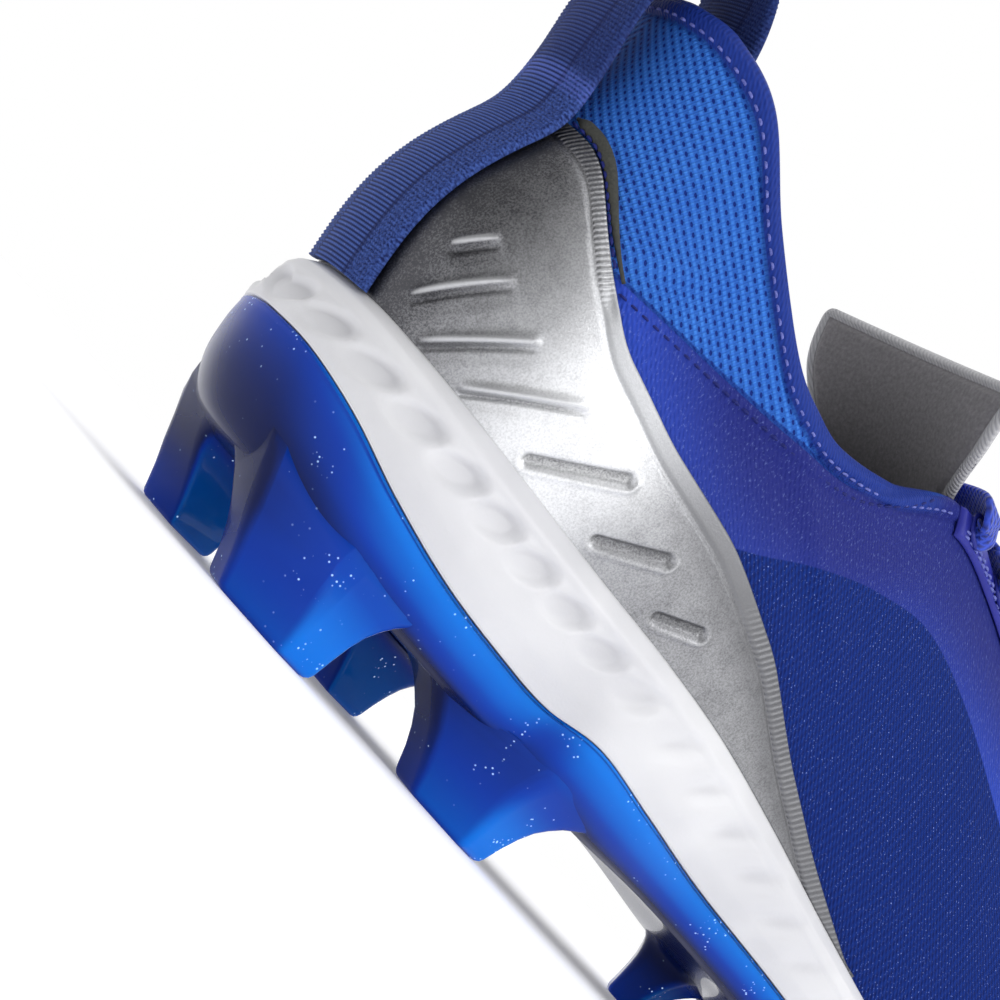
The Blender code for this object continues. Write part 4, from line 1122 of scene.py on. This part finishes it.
def webbingPart():
    a = np.linspace(-1, 1, webbing["across"] + 1)
    rise = build["gap"] * 2 + build["counterSkin"] + build["webSkin"] / 2
    first = levelAt(0.0, sole("rim", 0.0) + webbing["stripFoot"])
    last = levelAt(0.0, webbing["stripTop"])
    rows = []
    for level in np.linspace(first, last, webbing["stripRows"]):
        walk = webWalk(np.abs(a) * build["webHalf"], level) * np.where(a < 0, -1, 1)
        rows.append(offWall(walk, level, rise))
    end = len(webbing["loop"]) - 1
    k = np.linspace(0, end, webbing["loopRows"])
    bow = webbing["bowFirst"] * np.maximum(0, 1 - 2 * k / 3)
    bow = bow + webbing["bowLast"] * np.maximum(0, 1 - 2 * (end - k) / 5)
    for (y, z), curve in zip(spline(webbing["loop"], k), bow):
        rows.append(np.stack((a * build["webHalf"], y + curve * a * a, np.full(len(a), z)), -1))
    grid = np.array(rows)
    # even steps along the strip, so that the ribs keep their pitch
    run = lengthAlong(grid[:, len(a) // 2])
    steps = np.linspace(0, run[-1], int(run[-1] / webbing["spacing"]))
    place = np.interp(steps, run, np.arange(len(run)))
    grid = spline(grid.reshape(len(run), -1), place).reshape(len(steps), len(a), 3)
    for reach in webbing["soften"]:
        grid = softened(grid, reach)
    along = unit(np.gradient(grid, axis=0))
    normal = unit(np.cross(np.gradient(grid, axis=1), along))
    edge = smooth(webbing["edgeFrom"], 1.0, np.abs(a))
    rib = np.sin(2 * math.pi * steps / webbing["ribPitch"])[:, None] * webbing["ribDeep"] * (1 - edge)
    lift = normal * (build["webSkin"] / 2 * (1 - webbing["edgeThin"] * edge) + rib)[..., None]
    points = np.concatenate((grid + lift, (grid - lift)[:, ::-1]), 1)
    faces = [face[::-1] for face in skinFaces(len(steps), points.shape[1])]
    side = np.concatenate((a, a[::-1])) * build["webHalf"]
    tall = np.concatenate((grid[..., 2], grid[:, ::-1, 2]), 1)
    along = overGrid(steps[:, None], points)
    return points, faces, {"along": along, "across": overGrid(side, points), "tall": tall.ravel()}


def webbingRib(pen):
    along, across, tall = pen.value("along"), pen.value("across"), pen.value("tall")
    rib = (along * (2 * math.pi / webbing["ribPitch"])).wave()
    thread = ((across * 2.1 + along * 0.4).part() - 0.5).size() * 2.0
    fleck = pen.noise(pen.together(along * 0.9, across * 2.6), 1.1, 2.0, 0.7).rise(0.58, 0.72)
    body = pen.blend(rib, webbing["dark"], webbing["navy"])
    body = pen.blend(fleck * rib * 0.4, body, webbing["fleck"])
    # plain woven border each side
    inward = build["webHalf"] - across.size()
    border = inward.rise(webbing["selvedge"] + 0.2, webbing["selvedge"] - 0.2)
    weave = pen.noise(pen.together(along * 2.6, across * 2.6), 1.0, 1.0, 0.6).rise(0.28, 0.72)
    body = pen.blend(border * 0.8, body, pen.blend(weave, webbing["dark"], webbing["navy"]))
    body = pen.blend((inward - webbing["selvedge"]).size().rise(0.45, 0.2) * 0.7, body, webbing["dark"])
    # painted highlight along the fold where the loop starts
    foldHighlight = (tall - webbing["foldTall"]).size().rise(2.4, 0.6)
    body = pen.blend(foldHighlight * 0.5 * rib, body, webbing["fold"])
    body = pen.blend(tall.rise(*webbing["loopTall"]) * 0.58, body, webbing["dark"])
    return {"Base Color": body, "Roughness": 0.72, "Specular IOR Level": 0.12, "Sheen Weight": 0.05,
            "Sheen Roughness": 0.4, "Normal": pen.bump(thread * rib, 0.08)}


makePiece("pull_loop_webbing", webbingPart(), makeMaterial("webbingRib", webbingRib),
          ("pull_loop",))

# tongue
tongue = {
    "rows": (   # y, height of the crown, half width, drop of the sides, sideways step
        (200.0, 56.4, 11.0, 3.0, -5.0), (184.0, 60.6, 14.0, 4.5, -4.5), (168.0, 66.4, 16.5, 6.5, -3.0),
        (150.0, 74.0, 18.5, 8.0, -1.6), (130.0, 82.4, 17.0, 7.0, -0.8), (112.0, 89.4, 16.0, 5.0, 0.0),
        (100.0, 95.6, 17.6, 4.6, 0.2), (91.5, 103.6, 24.0, 5.2, 0.3), (87.5, 111.6, 26.0, 5.0, 0.3)),
    "columns": 190, "across": 61, "binding": 2.2, "boundTo": (26, 34), "unbound": 60.0, "cornerRound": 3.0,
    # the dimple colour is painted shade in the dips of the mesh
    "holePitch": 2.4, "mesh": colour(40, 84, 190), "dimpleShade": colour(12, 30, 112),
    "lining": colour(140, 138, 141), "liningShade": colour(86, 84, 88),
    "bind": colour(180, 180, 183), "bindShade": colour(120, 120, 126),
}


def tonguePart():
    k = (len(tongue["rows"]) - 1) * np.sin(np.linspace(0, math.pi / 2, tongue["columns"]))
    y, crown, half, drop, aside = spline(tongue["rows"], k).T
    length = lengthAlong(np.stack((y, crown), -1))
    toEnd = (length[-1] - length)[:, None]
    corner = tongue["cornerRound"]
    short = np.maximum(corner - toEnd[:, 0], 0)
    half = (half - corner + np.sqrt(np.maximum(corner ** 2 - short ** 2, 0)))[:, None]
    run = unit(np.stack((np.zeros(len(k)), np.gradient(y, k), np.gradient(crown, k)), -1))
    up = np.stack((np.zeros(len(k)), -run[:, 2], run[:, 1]), -1)
    up = np.where(up[:, 2:] > 0, up, -up)[:, None]
    a = np.sin(np.linspace(-math.pi / 2, math.pi / 2, tongue["across"]))
    middle = np.stack(np.broadcast_arrays(aside[:, None] + a * half, y[:, None], crown[:, None]), -1)
    middle = middle - up * (drop[:, None] * np.abs(a) ** 2.2)[..., None]
    rim = np.minimum(toEnd, (1 - np.abs(a)) * half)
    thick = build["tonguePad"] * (1 - 0.55 * np.abs(a) ** 4)
    edge = np.sqrt(np.maximum(1 - (1 - np.clip(rim / tongue["binding"], 0, 1)) ** 2, 0))
    sink = thick * 0.5 * (1 - edge) + 0.45 * bell(rim - tongue["binding"], 0.6) * smooth(40, 25, toEnd)
    top = middle - up * sink[..., None]
    under = middle - up * (thick - sink)[..., None]
    points = np.concatenate((top, under[:, ::-1]), 1)
    bound = rim + tongue["unbound"] * smooth(*tongue["boundTo"], toEnd)
    inside = np.repeat((0.0, 1.0), len(a))
    values = {"rim": np.concatenate((bound, bound[:, ::-1]), 1).ravel(), "inside": overGrid(inside, points),
              "run": overGrid(length[:, None], points),
              "across": overGrid(np.concatenate((a, a[::-1])) * half, points)}
    return points, skinFaces(len(k), points.shape[1]), values


def tongueMesh(pen):
    run, across, inside = pen.value("run"), pen.value("across"), pen.value("inside")
    rows = run / tongue["holePitch"]
    u = (across / tongue["holePitch"] + rows.floor() * 0.5).part() - 0.5
    v = rows.part() - 0.5
    # painted shade in the mesh dimples
    dimpleShade = u.reach(v).rise(0.42, 0.2)
    body = pen.blend(dimpleShade, tongue["mesh"], tongue["dimpleShade"])
    nap = pen.noise(pen.place(), 1.6, 3.0)
    body = pen.blend(inside, body, pen.blend(nap, tongue["lining"], tongue["liningShade"]))
    bound = pen.value("rim").rise(tongue["binding"] + 0.1, tongue["binding"] - 0.2)
    thread = ((run + across) * 7.0).wave()
    body = pen.blend(bound, body, pen.blend(thread * 0.3, tongue["bind"], tongue["bindShade"]))
    height = (1 - bound) * (1 - inside) * (1 - dimpleShade) + bound * thread * 0.4 + nap * 0.2
    return {"Base Color": body, "Roughness": 0.75, "Specular IOR Level": 0.3, "Sheen Weight": 0.2,
            "Sheen Roughness": 0.5, "Normal": pen.bump(height, 0.3)}


tonguePiece = makePiece("tongue_padded", tonguePart(), makeMaterial("tongueMesh", tongueMesh),
                        ("tongue",))

# insole
insole = {
    "spacing": (4.0, 2.4, 2.0, 3.2), "lowPlate": (3.0, 8), "highPlate": (2.0, 16), "clear": 3.4,
    "edge": ((0.0, 0.0), (0.0, build["insole"] - 0.8),   # inset and lift
             (0.25, build["insole"] - 0.25), (0.8, build["insole"])),
    "cloth": colour(92, 91, 96), "speck": colour(58, 57, 62),
}


def insoleRing(inset, lift):
    def ring(walk):
        z = sole("rim", walk) - build["bedDepth"] + build["gap"] + lift
        return insetPoint(walk, sole("lean", walk) + build["lip"] + insole["clear"] + inset, z)
    return ring


def insolePart():
    walks = roundWalk(insole["spacing"])
    rings = [insoleRing(*step) for step in insole["edge"]]
    points = np.stack([ring(walks) for ring in rings], 1)
    side = points, gridFaces(len(walks), len(rings), closeColumns=True), {}
    under = solePlate(insole["lowPlate"], rings[0], noArch, -1)
    over = solePlate(insole["highPlate"], rings[-1], noArch, 1)
    return joinParts([side, under + ({},), over + ({},)])


def insoleCloth(pen):
    nap = pen.noise(pen.place(), 1.8, 4.0, 0.6)
    return {"Base Color": pen.blend(nap, insole["cloth"], insole["speck"]), "Roughness": 0.9,
            "Normal": pen.bump(nap, 0.2)}


insolePiece = makePiece("insole_padded", insolePart(), makeMaterial("insoleCloth", insoleCloth),
                        ("insole",))

# laces
laces = {
    "lift": 1.6, "overLift": 2.0, "crown": 1.7, "clear": 1.6, "overlap": 1.35, "lastLift": 0.2,
    "normalLevel": 0.94,
    "up": (0.0, 0.3, 1.0), "steps": 61, "sides": 18, "square": 0.6, "narrow": 0.62, "braid": 5.2,
    # how far under the end, along the lace and turned over, from the tip up to the eyelet
    "ends": ((3.0, 0.6, 1.0), (0.4, 0.3, 0.3)),
    "cord": colour(34, 66, 186), "shade": colour(14, 30, 112),
}


def tongueHeight(y):
    rows = np.array(tongue["rows"])[::-1]
    return np.interp(y, rows[:, 0], rows[:, 1])


def laceBar(start, end, lift):
    gap, skin = build["gap"], build["eyestaySkin"]
    ends = [offWall(walk, eyestay["eyeletLevel"], gap + skin + laces["lift"]) for walk in (start, end)]
    overs = [offWall(walk, 1.0, 2 * gap + skin + laces["overLift"]) for walk in (start, end)]
    normals = [wallNormal(walk, laces["normalLevel"]) for walk in (start, end)]
    way = unit(ends[1] - ends[0])
    up = np.array(laces["up"])
    centre = (overs[0] + overs[1]) / 2
    centre[2] = max(centre[2] + laces["crown"], tongueHeight(centre[1]) + laces["clear"])
    halves = []
    for here, over, normal, turn in zip(ends, overs, normals, (-1, 1)):
        path = [here - normal * deep + way * back * turn for deep, back, _ in laces["ends"]] + [over]
        faces = [normal + way * lean * turn for _, _, lean in laces["ends"]] + [normal]
        halves.append(np.concatenate((path, unit(np.array(faces))), 1))
    rows = np.concatenate((halves[0], [np.concatenate((centre, unit(up)))], halves[1][::-1]))
    share = np.linspace(0, 1, laces["steps"])
    dense = spline(rows, share * (len(rows) - 1))
    path = dense[:, :3] + up * (lift * bell(2 * share - 1, 0.45))[:, None]
    narrow = laces["narrow"] + (1 - laces["narrow"]) * smooth(0.0, 0.2, share) * smooth(1.0, 0.8, share)
    ring = roundRing(build["laceHalf"], build["laceSkin"] / 2, laces["sides"], laces["square"])
    rings = ring[None] * np.stack((narrow, 1.15 - 0.15 * narrow), -1)[:, None]
    return sweepPart(path, unit(dense[:, 3:]), rings)


def lacesPart():
    rows = eyestay["eyelets"]
    bars = []
    for here, ahead in zip(rows, rows[1:]):
        bars.append(laceBar(here, -ahead, 0.0))
        bars.append(laceBar(-here, ahead, laces["overlap"]))
    bars.append(laceBar(rows[-1], -rows[-1], laces["lastLift"]))
    return joinParts(bars)


def laceBraid(pen):
    along, across = pen.value("along"), pen.value("across")
    left = ((along + across) * laces["braid"]).wave()
    right = ((along - across) * laces["braid"]).wave()
    braid = left.most(right)
    return {"Base Color": pen.blend(braid, laces["shade"], laces["cord"]), "Roughness": 0.7,
            "Sheen Weight": 0.2, "Sheen Roughness": 0.4, "Normal": pen.bump(braid, 0.2)}


makePiece("laces_flat", lacesPart(), makeMaterial("laceBraid", laceBraid), ("laces",))


# eyelet rings, piping and stitches
def plainFinish(tone, dark, rough, deep, scale):
    def finish(pen):
        grain = pen.noise(pen.place(), scale, 3.0)
        return {"Base Color": pen.blend(grain, tone, dark), "Roughness": rough, "Specular IOR Level": 0.2,
                "Normal": pen.bump(grain, deep)}
    return finish


def eyeletPart(sides=28, tubeSides=10):
    parts = []
    turn = np.linspace(0, 2 * math.pi, sides, endpoint=False)[:, None]
    tube = roundRing(eyestay["eyeletRing"], eyestay["eyeletRing"] * 0.7, tubeSides)
    for walk in eyeletWalks:
        normal = wallNormal(walk, eyestay["eyeletLevel"])
        middle = offWall(walk, eyestay["eyeletLevel"], build["gap"] + build["eyestaySkin"] + 0.05)
        ahead = unit(np.cross(normal, (0.3, 0.2, 1.0)))
        out = np.cos(turn) * ahead + np.sin(turn) * np.cross(normal, ahead)
        line = middle + out * eyestay["eyeletWide"]
        points = line[:, None] + out[:, None] * tube[:, :1] + normal * tube[:, 1:]
        parts.append((points, gridFaces(sides, tubeSides, closeColumns=True, closeRows=True), {}))
    return joinParts(parts)


ringFinish = plainFinish(eyestay["ring"], eyestay["ringShade"], 0.4, 0.04, 2.0)
makePiece("eyelet_rings", eyeletPart(), makeMaterial("eyeletRing", ringFinish))

piping = {
    "wide": 0.95, "flat": 0.85, "thinEnd": 0.3, "sides": 14, "steps": 80,
    "start": 10.6, "pastNotch": 1.5, "above": 1.25, "lift": 0.9,
    "olive": colour(76, 77, 72), "shade": colour(40, 41, 40),
}


def pipingPart():
    # cord in a tape along the counter's edge, from the webbing to the notch
    parts = []
    share = np.linspace(0, 1, piping["steps"])
    run = np.linspace(piping["start"], runAtY(counter["notch"]) + piping["pastNotch"], piping["steps"])
    thick = piping["thinEnd"] + (1 - piping["thinEnd"]) * smooth(0, 0.12, share) * smooth(1.0, 0.4, share)
    rings = roundRing(1.0, piping["flat"], piping["sides"])[None] * (piping["wide"] * thick)[:, None, None]
    for side in (1, -1):
        path, normal = onWall(run * side, counterTop(walkAt(run)) + piping["above"], piping["lift"])
        parts.append(sweepPart(path, normal, rings))
    return joinParts(parts)


pipingFinish = plainFinish(piping["olive"], piping["shade"], 0.7, 0.08, 2.5)
makePiece("counter_piping", pipingPart(), makeMaterial("pipingTape", pipingFinish))

stitches = {
    "radius": 0.24, "sides": 6, "firstAt": 0.2,
    # places along a stitch, with its lift and its thickness there
    "share": (0.0, 0.18, 0.5, 0.82, 1.0), "arch": (-0.9, 0.35, 0.7, 0.35, -0.9),
    "thick": (0.55, 0.95, 1.05, 0.95, 0.55),
    # long, pitch, share of the radius
    "collar": (1.1, 1.95, 0.85), "seam": (1.5, 2.1, 0.8), "counter": (1.25, 1.6, 1.0),
    "eyestay": (1.3, 1.9, 1.0),
    "collarEnd": 8.9, "counterStart": 10.8, "eyestayLevels": (0.822, 0.842), "eyestayEnds": (9.1, 12.9),
    "spacing": 0.8,
    "lavender": colour(132, 140, 215), "navy": colour(30, 40, 120), "dark": colour(14, 20, 74),
}


def stitchPart(line, settings):
    # a row of short arched threads along a line
    points, normals = line
    long, pitch, size = settings
    radius, sides = stitches["radius"] * size, stitches["sides"]
    share, arch, thick = (np.array(stitches[name]) for name in ("share", "arch", "thick"))
    run = lengthAlong(points)
    starts = np.arange(stitches["firstAt"], run[-1] - long, pitch)
    places = starts[:, None] + long * share
    path = np.stack([np.interp(places, run, points[:, i]) for i in range(3)], -1)
    up = unit(np.stack([np.interp(places, run, normals[:, i]) for i in range(3)], -1))
    across = unit(np.cross(up, unit(path[:, -1:] - path[:, :1])))
    path = path + up * (radius * arch)[:, None]
    turn = np.linspace(0, 2 * math.pi, sides, endpoint=False)
    ring = across[..., None, :] * np.cos(turn)[:, None] + up[..., None, :] * np.sin(turn)[:, None]
    made = path[..., None, :] + ring * (radius * thick)[:, None, None]
    count = sides * len(share)
    one = np.array(gridFaces(len(share), sides, closeRows=True))
    caps = np.array((np.arange(sides)[::-1], np.arange(count - sides, count)))
    faces = []
    for k in range(len(starts)):
        faces += (one + count * k).tolist() + (caps + count * k).tolist()
    return made.reshape(-1, 3), faces, {}


def edgeLine(end, below, lift):
    # a line round the opening, a distance below its edge
    walks = walkSteps(-end, end, stitches["spacing"])
    levels = np.linspace(0.3, 1, 160)
    length = lengthAlong(np.swapaxes(wallPoint(walks[:, None], levels), 0, 1)).T
    level = np.array([np.interp(row[-1] - below, row, levels) for row in length])
    return offWall(walks, level, lift), wallNormal(walks, level)


def stitchParts():
    bright = [stitchPart(edgeLine(stitches["collarEnd"], upper["binding"] - 0.55, 0.4), stitches["collar"])]
    dark = []
    seam = lineOf(upper["seam"], 300)
    seam = seam[seam[:, 0] > runAtY(counter["notch"] + 1.5)]
    run = np.linspace(stitches["counterStart"], runAtY(counter["notch"]) - 0.5, 120)
    for side in (1, -1):
        dark.append(stitchPart(onWall(seam[:, 0] * side, seam[:, 1] - 1.5, 0.42), stitches["seam"]))
        edge = onWall(run * side, counterTop(walkAt(run)) + 0.1, build["gap"] + 0.75)
        dark.append(stitchPart(edge, stitches["counter"]))
    walks = walkSteps(*stitches["eyestayEnds"], stitches["spacing"])
    for level in stitches["eyestayLevels"]:
        for side in (1, -1):
            points = offWall(walks * side, level, build["gap"] + build["eyestaySkin"])
            bright.append(stitchPart((points, wallNormal(walks * side, level)), stitches["eyestay"]))
    return joinParts(bright), joinParts(dark)


brightPart, darkPart = stitchParts()
brightFinish = plainFinish(stitches["lavender"], stitches["navy"], 0.6, 0.02, 2.0)
darkFinish = plainFinish(stitches["navy"], stitches["dark"], 0.6, 0.02, 2.0)
makePiece("stitches_bright", brightPart, makeMaterial("stitchThread", brightFinish))
makePiece("stitches_dark", darkPart, makeMaterial("stitchThreadDark", darkFinish))
print("pieces made")

# floor, light and camera
stage = {
    "floorSize": 12.0, "floor": colour(246, 246, 247), "floorGlow": 0.2,
    "sky": (1, 1, 1, 1), "backSky": (0.2, 0.2, 0.2, 1), "skyWay": (-0.25, 1.0, 0.35),
    "lightTarget": (5.0, 60.0, 45.0),
    "lights": (   # azimuth and elevation seen from the shoe, distance, size, power
        ("key", 118.0, 42.0, 0.9, 0.55, 1.9),
        ("spark", 100.0, 30.0, 0.8, 0.09, 0.45),
        ("side", 92.0, 14.0, 1.0, 0.45, 0.9),
        ("top", 30.0, 78.0, 0.9, 0.7, 0.9),
        ("rim", 250.0, 35.0, 1.0, 0.5, 0.9)),
}
view = {
    "azimuth": 57.0, "height": 8.0, "target": (12.0, 42.0, 37.0), "distance": 260.0, "roll": 48.0,
    "wide": 142.0, "sensor": 36.0, "clip": (0.01, 50.0),
}


def floorFinish(pen):
    return {"Base Color": stage["floor"], "Roughness": 0.6, "Specular IOR Level": 0.2,
            "Emission Color": stage["floor"], "Emission Strength": stage["floorGlow"]}


def buildFloor():
    half = stage["floorSize"] / 2
    mesh = bpy.data.meshes.new("floor")
    corners = [(-half, -half, 0), (half, -half, 0), (half, half, 0), (-half, half, 0)]
    mesh.from_pydata(corners, [], [(0, 1, 2, 3)])
    mesh.materials.append(makeMaterial("paleFloor", floorFinish))
    floor = bpy.data.objects.new("floor", mesh)
    bpy.context.scene.collection.objects.link(floor)


def direction(azimuth, elevation):
    a, e = math.radians(azimuth), math.radians(elevation)
    return Vector((math.sin(a) * math.cos(e), -math.cos(a) * math.cos(e), math.sin(e)))


def framePoint(point):
    return Vector((np.array(point) + shift) * mm)


def buildLight():
    # white all round, darker high up behind the shoe
    world = bpy.data.worlds.new("studio")
    world.use_nodes = True
    world.node_tree.nodes.clear()
    pen = Sock(world.node_tree)
    look = pen.make("ShaderNodeTexCoord", out="Generated")
    behind = pen.towards(look, stage["skyWay"]).rise(-0.3, -0.5)
    dark = behind * pen.towards(look, (0, 0, 1)).rise(0.1, 0.22)
    tone = pen.blend(dark, stage["sky"], stage["backSky"])
    shade = pen.make("ShaderNodeBackground", {}, {"Color": tone, "Strength": 1.0})
    pen.make("ShaderNodeOutputWorld", {}, {"Surface": shade})
    bpy.context.scene.world = world
    for name, azimuth, elevation, distance, size, power in stage["lights"]:
        lamp = bpy.data.lights.new(name, "AREA")
        lamp.shape = "DISK"
        lamp.size = size
        lamp.energy = power
        light = bpy.data.objects.new(name, lamp)
        way = direction(azimuth, elevation)
        light.location = framePoint(stage["lightTarget"]) + way * distance
        light.rotation_euler = way.to_track_quat("Z", "Y").to_euler()
        bpy.context.scene.collection.objects.link(light)


def buildCamera():
    target = framePoint(view["target"])
    eye = target + direction(view["azimuth"], 0.0) * view["distance"] * mm
    eye.z = view["height"] * mm
    ahead = (target - eye).normalized()
    right = ahead.cross(Vector((0, 0, 1))).normalized()
    up = right.cross(ahead)
    turn = math.radians(view["roll"])
    across = right * math.cos(turn) + up * math.sin(turn)
    tall = up * math.cos(turn) - right * math.sin(turn)
    lens = bpy.data.cameras.new("camera")
    lens.sensor_width = view["sensor"]
    lens.lens = view["sensor"] * (target - eye).length / (view["wide"] * mm)
    lens.clip_start, lens.clip_end = view["clip"]
    camera = bpy.data.objects.new("camera", lens)
    camera.matrix_world = Matrix.Translation(eye) @ Matrix((across, tall, -ahead)).transposed().to_4x4()
    bpy.context.scene.collection.objects.link(camera)
    bpy.context.scene.camera = camera


buildFloor()
buildLight()
buildCamera()
bpy.context.scene.view_settings.view_transform = "Standard"
print("stage made")
